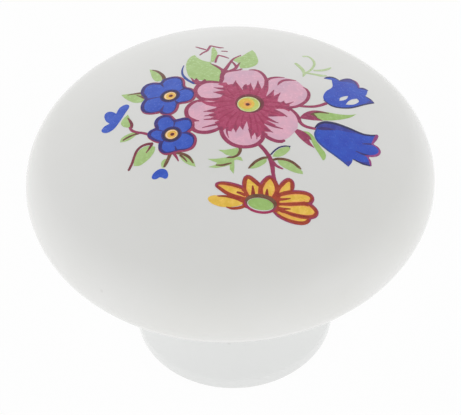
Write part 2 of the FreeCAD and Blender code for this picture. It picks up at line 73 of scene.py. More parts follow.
back = Vector((0, -math.cos(CAMERA_ELEVATION), math.sin(CAMERA_ELEVATION)))
level = Vector((1, 0, 0))
upright = back.cross(level)
right = math.cos(CAMERA_ROLL) * level - math.sin(CAMERA_ROLL) * upright
up = math.sin(CAMERA_ROLL) * level + math.cos(CAMERA_ROLL) * upright
camera = placed("camera", bpy.data.cameras.new("camera"))
camera.data.sensor_width = SENSOR_WIDTH
camera.data.lens = FOCAL_PIXELS / IMAGE_WIDTH * SENSOR_WIDTH
camera.data.clip_start = 0.01
place = Matrix((right, up, back)).transposed().to_4x4()
place.translation = (CAMERA_TARGET + back * CAMERA_DISTANCE) * MM
camera.matrix_world = place
bpy.context.scene.camera = camera
print("lens, mm:", round(camera.data.lens, 2))

# %% [markdown]
# Most pieces of the knob are turned shapes. On the real knob the body is cast and then finished on a
# wheel, and the insert is cut on a lathe. So each mesh starts as half a section: one vertex is pushed
# along straight runs and spun about the centres of the arcs. Then the section is spun about the knob's
# own axis. The lengths are in millimetres until the piece is finished.


# %% Draw a section and spin it
SAME_POINT = 0.0005
BODY_STEPS = 192
SMALL_STEPS = 96


def start_at(bm, radius, height):
    """The first vertex of a section, at a distance from the axis and a height."""
    return bmesh.ops.create_vert(bm, co=(radius, 0, height))["vert"][0]


def push_to(bm, last, *stops):
    """Carry the section straight on through some points."""
    for radius, height in stops:
        last = bmesh.ops.extrude_vert_indiv(bm, verts=[last])["verts"][0]
        last.co = (radius, 0, height)
    return last


def swing(bm, last, centre, sweep, steps):
    """Carry the section round an arc. A positive sweep, in degrees, turns from +X towards +Z."""
    made = bmesh.ops.spin(bm, geom=[last], cent=(centre[0], 0, centre[1]), axis=(0, -1, 0),
                          angle=math.radians(sweep), steps=steps)
    return made["geom_last"][0]


def turn_on_axis(bm, steps):
    """Spin the whole section into a closed skin, with its faces pointing outwards."""
    bmesh.ops.spin(bm, geom=bm.verts[:] + bm.edges[:], cent=(0, 0, 0), axis=(0, 0, 1),
                   angle=math.tau, steps=steps, use_merge=True)
    bmesh.ops.remove_doubles(bm, verts=bm.verts, dist=SAME_POINT)
    bmesh.ops.recalc_face_normals(bm, faces=bm.faces)


def finished(bm, name, materials, node):
    """Make the mesh an object in metres that stands for a CAD node."""
    bmesh.ops.scale(bm, vec=(MM, MM, MM), verts=bm.verts)
    mesh = bpy.data.meshes.new(name)
    bm.to_mesh(mesh)
    bm.free()
    piece = placed(name, mesh)
    for material in materials:
        mesh.materials.append(material)
    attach(piece, "root")
    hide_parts(node)
    print(name, "triangles:", sum(len(face.vertices) - 2 for face in mesh.polygons))
    return piece


# %% [markdown]
# A finish is a small tree of nodes. These helpers add a node, join two sockets and make a colour that
# drifts between two tones. Colours are written as screen values from 0 to 255, because that is how they
# are read from a picture, and Blender wants them as light, so one helper converts them.


# %% Helpers for the finishes
def tone(red, green, blue):
    """A screen colour as the amount of light that Blender works in."""
    light = [value / 255 for value in (red, green, blue)]
    light = [v / 12.92 if v <= 0.04045 else ((v + 0.055) / 1.055) ** 2.4 for v in light]
    return (*light, 1.0)


def new_finish(name):
    """An empty material, its main shader and the coordinates of the piece."""
    material = bpy.data.materials.new(name)
    material.use_nodes = True
    tree = material.node_tree
    shader = tree.nodes["Principled BSDF"]
    place = tree.nodes.new("ShaderNodeTexCoord").outputs["Object"]
    return material, tree, shader, place


def add(tree, kind, links=None, **settings):
    """A node, with some sockets linked and others set."""
    node = tree.nodes.new(kind)
    for key, value in settings.items():
        if key in node.inputs:
            node.inputs[key].default_value = value
        else:
            setattr(node, key, value)
    for key, source in (links or {}).items():
        tree.links.new(source, node.inputs[key])
    return node


def grain(tree, place, size, detail=3.0, roughness=0.55):
    """Cloudy noise whose patches are about this many millimetres across."""
    node = add(tree, "ShaderNodeTexNoise", {"Vector": place})
    node.inputs["Scale"].default_value = 1 / (size * MM)
    node.inputs["Detail"].default_value = detail
    node.inputs["Roughness"].default_value = roughness
    return node.outputs["Fac"]


def drift(tree, factor, low, high, start=0.35, end=0.65):
    """Two colours, mixed by a factor that is spread between start and end."""
    ramp = add(tree, "ShaderNodeValToRGB", {"Fac": factor})
    ramp.color_ramp.elements[0].position = start
    ramp.color_ramp.elements[0].color = low
    ramp.color_ramp.elements[1].position = end
    ramp.color_ramp.elements[1].color = high
    return ramp.outputs["Color"]


def spread(tree, factor, low, high, start=0.35, end=0.65):
    """A number that drifts between two values."""
    node = add(tree, "ShaderNodeMapRange", {"Value": factor})
    node.inputs["From Min"].default_value = start
    node.inputs["From Max"].default_value = end
    node.inputs["To Min"].default_value = low
    node.inputs["To Max"].default_value = high
    return node.outputs["Result"]


def uneven(tree, shader, height, distance, strength=1.0):
    """Let a height, in millimetres, tilt the surface's shading."""
    bump = add(tree, "ShaderNodeBump", {"Height": height})
    bump.inputs["Strength"].default_value = strength
    bump.inputs["Distance"].default_value = distance * MM
    tree.links.new(bump.outputs["Normal"], shader.inputs["Normal"])


# %% [markdown]
# The body is slip-cast porcelain under a clear, slightly milky glaze. The glaze makes it glossy, and pulls
# into a very gentle unevenness as it melts. A few pinholes and iron specks show in it. The foot's ring
# and its socket are wiped bare before firing, so there the biscuit shows, matt and a little greyer. One
# material does both: the height on the piece tells the glaze from the bare foot.

# %% Glaze and bare biscuit
GLAZE_LINE = 0.3

glaze, tree, shader, place = new_finish("white_glaze")
height = add(tree, "ShaderNodeSeparateXYZ", {"Vector": place}).outputs["Z"]
thin = drift(tree, grain(tree, place, 9.0), tone(220, 220, 217), tone(222, 222, 220))
pooled = spread(tree, height, 1.0, 0.0, 13.5 * MM, 17.5 * MM)
clouds = add(tree, "ShaderNodeMix", {"A": thin, "Factor": pooled}, data_type="RGBA")
clouds.inputs["B"].default_value = tone(222, 223, 222)
clouds = clouds.outputs["Result"]
specks = add(tree, "ShaderNodeTexVoronoi", {"Vector": place})
specks.inputs["Scale"].default_value = 1 / (3.2 * MM)
few = add(tree, "ShaderNodeTexWhiteNoise", {"Vector": specks.outputs["Position"]})
chosen = spread(tree, few.outputs["Value"], 0.0, 1.0, 0.80, 0.82)
near = spread(tree, specks.outputs["Distance"], 1.0, 0.0, 0.025, 0.07)
mark = add(tree, "ShaderNodeMath", {0: chosen, 1: near}, operation="MULTIPLY").outputs["Value"]
mark = add(tree, "ShaderNodeMath", {0: mark}, operation="MULTIPLY")
mark.inputs[1].default_value = 0.14
speckled = add(tree, "ShaderNodeMix", {"A": clouds, "Factor": mark.outputs["Value"]},
               data_type="RGBA")
speckled.inputs["B"].default_value = tone(150, 145, 138)
ragged = add(tree, "ShaderNodeMath", {0: grain(tree, place, 1.5)}, operation="MULTIPLY_ADD")
ragged.inputs[1].default_value = 0.25 * MM
tree.links.new(height, ragged.inputs[2])
bare = spread(tree, ragged.outputs["Value"], 1.0, 0.0, (GLAZE_LINE + 0.1) * MM,
              (GLAZE_LINE + 0.2) * MM)
biscuit = drift(tree, grain(tree, place, 0.5), tone(205, 202, 194), tone(222, 220, 212))
skin = add(tree, "ShaderNodeMix", {"A": speckled.outputs["Result"], "B": biscuit, "Factor": bare},
           data_type="RGBA")
tree.links.new(skin.outputs["Result"], shader.inputs["Base Color"])
gloss = spread(tree, grain(tree, place, 4.0), 0.10, 0.17)
rough = add(tree, "ShaderNodeMix", {"A": gloss, "Factor": bare}, data_type="FLOAT")
rough.inputs["B"].default_value = 0.75
tree.links.new(rough.outputs["Result"], shader.inputs["Roughness"])
uneven(tree, shader, grain(tree, place, 6.0, detail=1.0), 0.03)
print("white_glaze nodes:", len(tree.nodes))

# %% [markdown]
# The body's section starts at the top of the dome, on the axis. It goes over the rim and along the
# underside, down the hollow neck to the foot, and back up the socket that holds the insert. Each arc's
# centre and sweep is the one that the CAD part has, so the two agree to a hundredth of a millimetre.

# %% The knob's body
PROJECTION = 28.6
RING_HEIGHT = 20.2
RIM_RADIUS = 4.8
RIM_CENTRE = 14.25
DOME_RADIUS = 34.803
DOME_CENTRE = PROJECTION - DOME_RADIUS
UNDERSIDE_SLOPE = 18.0
FLARE_CENTRE, FLARE_RADIUS = (13.964, 9.0), 5.764
HOLLOW_CENTRE, HOLLOW_RADIUS = (24.3, 9.0), 16.1
FOOT_RADIUS, FOOT_EDGE, LAND_EDGE = 10.0, 0.6, 1.0
SOCKET_RADIUS, SOCKET_DEPTH, SOCKET_CHAMFER = 4.5, 11.99, 0.4
DOME_STEPS, RIM_STEPS, FLARE_STEPS, HOLLOW_STEPS, EDGE_STEPS, LAND_STEPS = 40, 22, 18, 12, 8, 6
SHARPEST_SMOOTH = math.radians(30)

dome_edge = math.degrees(math.atan2(RING_HEIGHT - DOME_CENTRE, RIM_CENTRE))
# The round above the foot's band touches both the band and the hollow arc
apart = HOLLOW_RADIUS + LAND_EDGE
land_drop = math.sqrt(apart ** 2 - (HOLLOW_CENTRE[0] - FOOT_RADIUS + LAND_EDGE) ** 2)
hollow_end = math.degrees(math.asin(land_drop / apart))

bm = bmesh.new()
end = start_at(bm, 0, PROJECTION)
end = swing(bm, end, (0, DOME_CENTRE), dome_edge - 90, DOME_STEPS)
end = swing(bm, end, (RIM_CENTRE, RING_HEIGHT), -dome_edge, RIM_STEPS)
end = swing(bm, end, (RIM_CENTRE, RING_HEIGHT), UNDERSIDE_SLOPE - 90, RIM_STEPS)
slope = math.radians(UNDERSIDE_SLOPE)
end = push_to(bm, end, (FLARE_CENTRE[0] - FLARE_RADIUS * math.sin(slope),
                        FLARE_CENTRE[1] + FLARE_RADIUS * math.cos(slope)))
end = swing(bm, end, FLARE_CENTRE, 90 - UNDERSIDE_SLOPE, FLARE_STEPS)
end = swing(bm, end, HOLLOW_CENTRE, hollow_end, HOLLOW_STEPS)
end = swing(bm, end, (FOOT_RADIUS - LAND_EDGE, HOLLOW_CENTRE[1] - land_drop), -hollow_end, LAND_STEPS)
end = push_to(bm, end, (FOOT_RADIUS, FOOT_EDGE))
end = swing(bm, end, (FOOT_RADIUS - FOOT_EDGE, FOOT_EDGE), -90, EDGE_STEPS)
push_to(bm, end, (SOCKET_RADIUS + SOCKET_CHAMFER, 0), (SOCKET_RADIUS, SOCKET_CHAMFER),
        (SOCKET_RADIUS, SOCKET_DEPTH), (0, SOCKET_DEPTH))
turn_on_axis(bm, BODY_STEPS)
for face in bm.faces:
    face.smooth = True
for edge in bm.edges:
    edge.smooth = edge.calc_face_angle(0) <= SHARPEST_SMOOTH
open_edges = sum(not edge.is_manifold for edge in bm.edges)
widest = max(vert.co.to_2d().length for vert in bm.verts)
finished(bm, "glazed_body", [glaze], "knob_body")
print("widest ring, mm:", round(widest, 3), "open edges:", open_edges)

# %% [markdown]
# The insert is free-turning brass: bright, yellow, with the fine rings that a lathe tool leaves. The
# rings go round the axis, so they are bands in the distance from the axis on the end face, and bands in
# height on the wall. A wave texture set to rings about Z gives the first, and its stretched noise
# breaks them up.

# %% Turned brass
brass, tree, shader, place = new_finish("turned_brass")
rings = add(tree, "ShaderNodeTexWave", {"Vector": place}, wave_type="RINGS", rings_direction="Z")
rings.inputs["Scale"].default_value = 1 / (0.6 * MM)
rings.inputs["Distortion"].default_value = 0.6
rings.inputs["Detail Scale"].default_value = 2.0
tarnish = drift(tree, grain(tree, place, 1.6), tone(176, 140, 78), tone(214, 178, 105))
tree.links.new(tarnish, shader.inputs["Base Color"])
shader.inputs["Metallic"].default_value = 1.0
tree.links.new(spread(tree, grain(tree, place, 0.8), 0.22, 0.42), shader.inputs["Roughness"])
uneven(tree, shader, rings.outputs["Fac"], 0.01)
print("turned_brass nodes:", len(tree.nodes))

# %% [markdown]
# The insert's blank is a short bar with two grooves that the cement keys into. Its bore is turned at the
# thread's root here, and the thread itself is wound in it as one long ridge: a small four-sided section,
# spun about the axis while it climbs one pitch in each turn. In the CAD part the thread is a plain hole
# at the tapping size, which is the ridge's crest here.

# %% The threaded insert
INSERT_RADIUS, INSERT_BOTTOM, INSERT_TOP = 3.5, 0.4, 10.591
INSERT_EDGE = 0.3
GROOVE_WIDTH, GROOVE_DEPTH = 1.2, 0.5
GROOVES = (3.4, 6.8)
THREAD_ROOT, THREAD_CREST, THREAD_PITCH = 2.0, 1.65, 0.7
THREAD_START, THREAD_END = 0.9, 8.9
THREAD_CHAMFER = 0.5
DRILL_POINT = math.radians(118)
THREAD_STEPS = 48

bm = bmesh.new()
end = start_at(bm, 0, INSERT_TOP)
end = push_to(bm, end, (INSERT_RADIUS - INSERT_EDGE, INSERT_TOP),
              (INSERT_RADIUS, INSERT_TOP - INSERT_EDGE))
for groove in reversed(GROOVES):
    above, below = groove + GROOVE_WIDTH / 2, groove - GROOVE_WIDTH / 2
    bottom = INSERT_RADIUS - GROOVE_DEPTH
    end = push_to(bm, end, (INSERT_RADIUS, above), (bottom, above), (bottom, below),
                  (INSERT_RADIUS, below))
push_to(bm, end, (INSERT_RADIUS, INSERT_BOTTOM + INSERT_EDGE),
        (INSERT_RADIUS - INSERT_EDGE, INSERT_BOTTOM),
        (THREAD_CREST + THREAD_CHAMFER, INSERT_BOTTOM), (THREAD_ROOT, THREAD_START - 0.35),
        (THREAD_ROOT, THREAD_END), (THREAD_CREST, THREAD_END),
        (0, THREAD_END + THREAD_CREST / math.tan(DRILL_POINT / 2)))
turn_on_axis(bm, SMALL_STEPS)

half_root, half_crest = THREAD_PITCH * 0.44, THREAD_PITCH * 0.06
low = THREAD_START - 0.2
section = [bmesh.ops.create_vert(bm, co=co)["vert"][0] for co in (
    (THREAD_ROOT + 0.02, 0, low), (THREAD_CREST, 0, low + half_root - half_crest),
    (THREAD_CREST, 0, low + half_root + half_crest), (THREAD_ROOT + 0.02, 0, low + 2 * half_root))]
ridge = bmesh.ops.contextual_create(bm, geom=section)["faces"]
ridge_geom = ridge + list(ridge[0].edges) + list(ridge[0].verts)
turns = (THREAD_END - 2 * half_root - low) / THREAD_PITCH
bmesh.ops.spin(bm, geom=ridge_geom, cent=(0, 0, 0), axis=(0, 0, 1), angle=math.tau * turns,
               steps=round(turns * THREAD_STEPS), dvec=(0, 0, THREAD_PITCH / THREAD_STEPS))
bmesh.ops.holes_fill(bm, edges=[edge for edge in bm.edges if edge.is_boundary], sides=4)
bmesh.ops.recalc_face_normals(bm, faces=bm.faces)
for face in bm.faces:
    face.smooth = True
for edge in bm.edges:
    edge.smooth = edge.calc_face_angle(0) < math.radians(25)
print("thread turns:", round(turns, 2), "open edges:", sum(not e.is_manifold for e in bm.edges))
finished(bm, "brass_insert", [brass], "threaded_insert")

# %% [markdown]
# The cement is poured round the insert and left as it sets: matt, pale grey, with a surface that is
# never quite level and that creeps up a little at both walls. So its lower face has three rings of
# vertices instead of one, and each is moved by smooth noise after the spin.

# %% Cement
cement, tree, shader, place = new_finish("setting_cement")
tree.links.new(drift(tree, grain(tree, place, 0.7), tone(176, 172, 162), tone(206, 202, 193)),
               shader.inputs["Base Color"])
shader.inputs["Roughness"].default_value = 0.9
uneven(tree, shader, grain(tree, place, 0.25, detail=5.0), 0.06)

CEMENT_FACE = 0.7
CEMENT_DIP = 0.12
CEMENT_CREEP = 0.18

bm = bmesh.new()
end = start_at(bm, INSERT_RADIUS, CEMENT_FACE)
push_to(bm, end, (INSERT_RADIUS + CEMENT_CREEP, CEMENT_FACE + CEMENT_DIP),
        ((INSERT_RADIUS + SOCKET_RADIUS) / 2, CEMENT_FACE + CEMENT_DIP * 1.3),
        (SOCKET_RADIUS - CEMENT_CREEP, CEMENT_FACE + CEMENT_DIP),
        (SOCKET_RADIUS, CEMENT_FACE), (SOCKET_RADIUS, SOCKET_DEPTH), (0, SOCKET_DEPTH))
end = push_to(bm, start_at(bm, 0, INSERT_TOP), (INSERT_RADIUS, INSERT_TOP))
bm.verts.ensure_lookup_table()
bm.edges.new((end, bm.verts[0]))
turn_on_axis(bm, SMALL_STEPS)
for vert in bm.verts:
    if vert.co.z < CEMENT_FACE + 2 * CEMENT_DIP:
        vert.co.z += 0.06 * noise.noise(vert.co * 0.9)
for face in bm.faces:
    face.smooth = face.calc_center_median().z < 1.0
print("cement open edges:", sum(not e.is_manifold for e in bm.edges))
finished(bm, "cement_ring", [cement], "insert_cement")

# %% [markdown]
# Now the print. The real one is a transfer: flat inks are printed on paper one over another, slid on to
# the glaze, and fired until they sink into it. So the spray is drawn flat, from above, as a list of
# shapes in the order in which they are printed. A shape is an outline of corners and smooth runs, or
# a pen stroke with a width at each point. The helpers turn both into plain outlines.


# %% Helpers that draw the print
LAYERS = []
RUN_STEP = 0.16
DISC_POINTS = 36


def smooth_run(points, closed=False):
    """Points along a smooth line through the given ones."""
    knots = [Vector(point) for point in points]
    count = len(knots)
    if closed:
        around = [(knots[i - 1], knots[(i + 1) % count]) for i in range(count)]
    else:
        around = [(knots[max(i - 1, 0)], knots[min(i + 1, count - 1)]) for i in range(count)]
    slopes = [(after - before).normalized() for before, after in around]
    line = [knots[0]]
    for i in range(count if closed else count - 1):
        j = (i + 1) % count
        reach = (knots[j] - knots[i]).length
        steps = max(2, math.ceil(reach / RUN_STEP)) + 1
        span = interpolate_bezier(knots[i], knots[i] + slopes[i] * reach / 3,
                                  knots[j] - slopes[j] * reach / 3, knots[j], steps)
        line.extend(point.to_2d() for point in span[1:])
    return line[:-1] if closed else line


def anticlockwise(points):
    """The same outline, without repeated points and turning left."""
    clean = [point for i, point in enumerate(points) if (point - points[i - 1]).length > 1e-4]
    area = sum(clean[i - 1].cross(point) for i, point in enumerate(clean))
    return clean if area > 0 else clean[::-1]


def field(*items):
    """An outline. A tuple is a corner, and a list is a smooth run on from the point before it."""
    points = []
    last = []
    for item in items:
        run = item if isinstance(item, list) else [item]
        points.extend(smooth_run(last + run) if isinstance(item, list) else [Vector(item)])
        last = run[-1:]
    return anticlockwise(points)


def ring(*points):
    """One closed smooth outline."""
    return anticlockwise(smooth_run(points, closed=True))


def disc(centre, radius, flat=1.0, turn=0.0):
    """A round outline, or an oval one that is turned by some degrees."""
    made = []
    for i in range(DISC_POINTS):
        angle = i * math.tau / DISC_POINTS
        point = Vector((math.cos(angle) * radius, math.sin(angle) * radius * flat))
        made.append(Vector(centre) + Matrix.Rotation(math.radians(turn), 2) @ point)
    return made


def smooth_rail(points, widths):
    """The points of a smooth line, each with the stroke's width there."""
    line = smooth_run(points)
    ends = [min(range(len(line)), key=lambda i, p=Vector(p): (line[i] - p).length) for p in points]
    rail = []
    for i, point in enumerate(line):
        k = max(n for n, at in enumerate(ends[:-1]) if at <= i)
        share = (i - ends[k]) / max(ends[k + 1] - ends[k], 1)
        rail.append((point, widths[k] + (widths[k + 1] - widths[k]) * share))
    return rail


def pen(points, widths):
    """A stroke along a smooth line, with a width at each of its points or one for all."""
    if not isinstance(widths, (list, tuple)):
        widths = [widths * 0.6] + [widths] * (len(points) - 2) + [widths * 0.6]
    rail = smooth_rail(points, widths)
    left, right = [], []
    for i, (middle, width) in enumerate(rail):
        before, after = rail[max(i - 1, 0)][0], rail[min(i + 1, len(rail) - 1)][0]
        across = (after - before).normalized().orthogonal() * width / 2
        left.append(middle + across)
        right.append(middle - across)
    first, last = rail[0], rail[-1]
    nose = (last[0] - rail[-2][0]).normalized() * last[1] / 3
    heel = (first[0] - rail[1][0]).normalized() * first[1] / 3
    return anticlockwise(left + [last[0] + nose] + right[::-1] + [first[0] + heel])


def grown(outline, distance, shift=(0.0, 0.0)):
    """The outline moved outwards by a distance, and then aside."""
    made = []
    for i, point in enumerate(outline):
        along = outline[(i + 1) % len(outline)] - outline[i - 1]
        out = -along.normalized().orthogonal()
        made.append(point + out * distance + Vector(shift))
    return made


def band(outline, width):
    """An even line along a closed outline: its outer side, and then its inner side the other way round."""
    outer, inner = grown(outline, width / 2), grown(outline, -width / 2)[::-1]
    return outer + [outer[0]] + inner + [inner[0]]


def paint(ink, *outlines):
    """Print some outlines in an ink, over all that came before."""
    for outline in outlines:
        LAYERS.append((ink, outline))

# %% [markdown]
# The leaves and the green twigs are printed first. Each leaf is two smooth runs that meet in a point
# at the tip and at the stalk, which gives a leaf its pointed ends without any extra work.

# %% Leaves
paint("green",
      field([(-7.2, 7.2), (-7.05, 6.3), (-6.85, 5.4), (-6.5, 4.8), (-6.0, 4.75), (-5.7, 4.85)],
            [(-5.9, 5.8), (-6.3, 6.5), (-6.9, 7.0), (-7.2, 7.2)]),
      field([(-9.75, 3.8), (-9.0, 3.65), (-8.2, 3.45), (-7.6, 3.1), (-7.5, 2.4), (-7.8, 1.95)],
            [(-8.4, 2.05), (-9.0, 2.6), (-9.45, 3.2), (-9.75, 3.8)]),
      field([(-9.05, 0.6), (-9.5, 0.1), (-9.65, -0.45), (-9.4, -0.9), (-8.9, -1.2)],
            [(-8.7, -0.9), (-8.85, 0.0), (-9.05, 0.6)]),
      field([(-9.7, -2.75), (-9.55, -2.3), (-9.0, -2.0), (-8.4, -1.95), (-8.1, -2.2)],
            [(-8.5, -2.55), (-9.1, -2.8), (-9.7, -2.75)]),
      field([(-8.4, -5.8), (-8.35, -5.2), (-8.05, -4.4), (-7.5, -3.95), (-6.9, -3.95),
             (-6.5, -4.15)],
            [(-6.55, -4.6), (-6.9, -5.2), (-7.4, -5.65), (-7.9, -5.9), (-8.4, -5.8)]),
      ring((-5.9, -5.9), (-5.5, -5.7), (-5.4, -6.2), (-5.75, -6.6), (-5.95, -6.4)),
      field([(-4.4, -5.4), (-3.7, -5.55), (-3.2, -6.1), (-2.95, -6.9)],
            [(-3.5, -6.65), (-4.1, -6.1), (-4.4, -5.4)]))
paint("green",
      field([(-3.72, 7.3), (-3.55, 8.0), (-3.2, 8.6), (-2.9, 8.75)],
            [(-2.85, 8.5), (-2.6, 8.0), (-2.2, 7.5), (-1.7, 7.15), (-1.4, 7.1)],
            [(-1.4, 6.8), (-0.95, 6.2), (-0.6, 5.6), (-0.5, 5.0), (-0.65, 4.3), (-0.6, 3.7)],
            (-0.7, 3.6),
            [(-1.9, 3.85), (-3.3, 4.5), (-3.5, 4.9), (-3.65, 5.6), (-3.75, 6.5), (-3.72, 7.3)]),
      field([(-1.45, 7.2), (-1.4, 8.0), (-1.35, 9.0), (-1.3, 9.9), (-1.1, 10.2)],
            [(-0.95, 9.6), (-0.8, 8.9), (-0.85, 8.3), (-1.0, 7.6), (-1.2, 7.0)]),
      field([(1.5, 8.0), (2.0, 8.7), (2.5, 9.35)],
            [(2.75, 8.8), (2.9, 8.0), (3.0, 7.2), (2.85, 6.5), (2.4, 6.0), (1.8, 5.75),
             (1.3, 5.75)], [(1.2, 6.2), (1.05, 6.8), (0.7, 7.2), (1.1, 7.8), (1.5, 8.0)]))
paint("moss",
      field([(7.3, -0.65), (7.9, -0.25), (8.8, -0.05), (9.8, -0.05), (10.6, 0.05), (11.2, 0.25),
             (11.65, 0.5)],
            [(11.1, -0.1), (10.5, -0.5), (9.9, -0.8), (9.0, -1.1), (8.2, -1.2), (7.8, -0.9),
             (7.3, -0.65)]),
      field([(6.6, -2.9), (7.1, -2.95), (7.5, -3.4), (7.7, -3.9), (8.1, -4.6), (8.45, -5.2),
             (8.35, -5.8), (8.15, -5.95)],
            [(7.9, -5.4), (7.5, -4.6), (7.3, -4.0), (7.1, -3.4), (6.6, -2.9)]))
paint("green",
      field([(3.75, -6.05), (4.0, -5.55), (4.5, -5.1), (5.2, -4.85)],
            [(5.35, -5.0), (5.15, -5.4), (4.7, -5.85), (4.2, -6.05), (3.75, -6.05)]),
      field([(3.2, -6.3), (2.6, -6.4), (2.05, -6.85), (1.75, -7.35)],
            [(2.2, -7.3), (2.8, -7.0), (3.2, -6.6), (3.2, -6.3)]),
      field([(4.15, -6.4), (4.9, -6.35), (5.6, -6.7), (6.3, -7.4)], (6.3, -7.65),
            [(5.6, -7.55), (4.8, -7.2), (4.3, -6.8), (4.15, -6.4)]),
      field((-0.95, -5.3), (-0.4, -5.35), (0.75, -5.15), (0.85, -5.7), (0.5, -6.1), (0.1, -6.0),
            (-0.3, -5.85), (-0.55, -5.6)),
      field((-1.9, -6.2), (-1.2, -6.25), (-0.3, -6.15), (0.3, -6.2), (0.7, -6.1), (1.0, -6.15),
            (1.15, -6.55), (0.6, -6.4), (0.4, -6.5), (0.4, -7.2), (0.3, -7.85), (0.0, -7.4),
            (0.0, -6.95), (-0.5, -7.1), (-1.2, -7.2), (-1.85, -7.05), (-1.2, -6.85),
            (-1.1, -6.65), (-1.5, -6.45)))
paint("sprig",
      pen([(6.5, 7.2), (6.8, 6.7), (7.1, 6.1), (7.2, 5.4), (7.05, 4.9)],
          [0.3, 0.38, 0.35, 0.3, 0.1]),
      pen([(7.3, 8.85), (7.75, 9.0), (8.15, 8.5), (8.3, 7.8), (8.15, 7.0), (7.8, 6.2),
           (7.25, 5.5)], [0.25, 0.22, 0.25, 0.25, 0.22, 0.2, 0.2]),
      pen([(8.15, 6.3), (8.9, 6.55), (9.5, 7.0), (9.85, 7.45)], [0.2, 0.28, 0.28, 0.12]),
      pen([(7.4, 5.6), (8.0, 5.6), (8.7, 5.55), (9.3, 5.7)], [0.2, 0.25, 0.35, 0.15]))
print("shapes so far:", len(LAYERS))

# %% [markdown]
# The stems, the twigs and the dark sides of the leaves are pen strokes in the line ink. Over a leaf the
# same ink turns brown, and over blue it turns navy, because the inks are thin. So the drawing only
# says where a stroke goes, and its colour is worked out later from what lies under it.

# %% Stems, twigs and veins
paint("line",
      pen([(6.45, 0.3), (7.0, 0.33), (7.7, 0.45), (8.35, 0.75), (8.95, 1.2)],
          [0.25, 0.28, 0.3, 0.3, 0.32]),
      pen([(2.7, -4.85), (3.15, -5.5), (3.5, -6.2), (3.68, -7.0), (3.72, -7.8), (3.85, -8.6)],
          [0.35, 0.36, 0.4, 0.42, 0.33, 0.3]),
      pen([(3.75, -6.6), (4.0, -6.95), (4.3, -7.15), (4.6, -7.28)], [0.3, 0.26, 0.22, 0.1]))
paint("brown",
      pen([(3.35, -6.15), (2.9, -6.25), (2.3, -6.6), (1.9, -7.0), (1.62, -7.32)],
          [0.2, 0.26, 0.26, 0.24, 0.12]),
      pen([(3.75, -6.4), (4.2, -6.27), (4.9, -6.3), (5.5, -6.55), (6.0, -7.0), (6.17, -7.15)],
          [0.2, 0.26, 0.28, 0.28, 0.26, 0.1]),
      pen([(0.95, -5.1), (0.95, -5.5), (0.7, -5.95), (0.3, -6.15), (-0.05, -6.15), (-0.25, -6.2)],
          [0.3, 0.28, 0.24, 0.2, 0.18, 0.08]),
      pen([(-1.2, -6.9), (-0.7, -6.95), (-0.2, -6.85), (0.15, -6.75)], [0.12, 0.2, 0.2, 0.12]))
paint("brown",
      pen([(-6.95, 7.0), (-6.5, 6.6), (-6.1, 6.0), (-5.85, 5.4), (-5.75, 4.85)],
          [0.12, 0.25, 0.3, 0.34, 0.38]),
      pen([(-9.15, 3.5), (-8.5, 3.45), (-8.0, 3.35), (-7.55, 3.2)], [0.1, 0.22, 0.3, 0.3]),
      pen([(-8.3, 3.15), (-7.9, 2.8), (-7.6, 2.5), (-7.4, 2.4)], [0.08, 0.2, 0.28, 0.3]),
      pen([(-9.4, -2.6), (-9.0, -2.4), (-8.5, -2.25), (-8.0, -2.2)], [0.2, 0.22, 0.22, 0.2]),
      pen([(-5.15, -5.15), (-5.3, -5.6), (-5.55, -6.2), (-5.7, -6.5)], [0.35, 0.3, 0.3, 0.2]),
      pen([(-4.6, -5.15), (-4.0, -5.45), (-3.55, -5.8), (-3.15, -6.5)], [0.3, 0.28, 0.28, 0.12]),
      pen([(-4.3, -5.5), (-3.95, -5.9), (-3.7, -6.3)], [0.2, 0.18, 0.08]))
paint("maroon",
      pen([(-9.05, 0.15), (-8.8, -0.4), (-8.65, -0.9), (-8.68, -1.3)], [0.08, 0.25, 0.3, 0.25]),
      pen([(-8.85, -6.15), (-8.55, -5.5), (-8.35, -4.8), (-8.1, -4.15), (-7.7, -3.8),
           (-7.2, -3.68), (-6.75, -3.75)], [0.22, 0.25, 0.25, 0.25, 0.25, 0.28, 0.3]),
      pen([(-6.8, -3.8), (-7.0, -4.2), (-7.3, -4.65)], [0.25, 0.22, 0.1]))
paint("line",
      pen([(-8.85, -1.15), (-8.65, -1.6), (-8.2, -2.0), (-7.7, -2.2), (-7.2, -2.5),
           (-6.9, -2.75)], [0.2, 0.26, 0.28, 0.25, 0.28, 0.2]),
      pen([(-4.85, -5.2), (-4.65, -5.6), (-4.45, -6.1)], [0.3, 0.22, 0.1]))
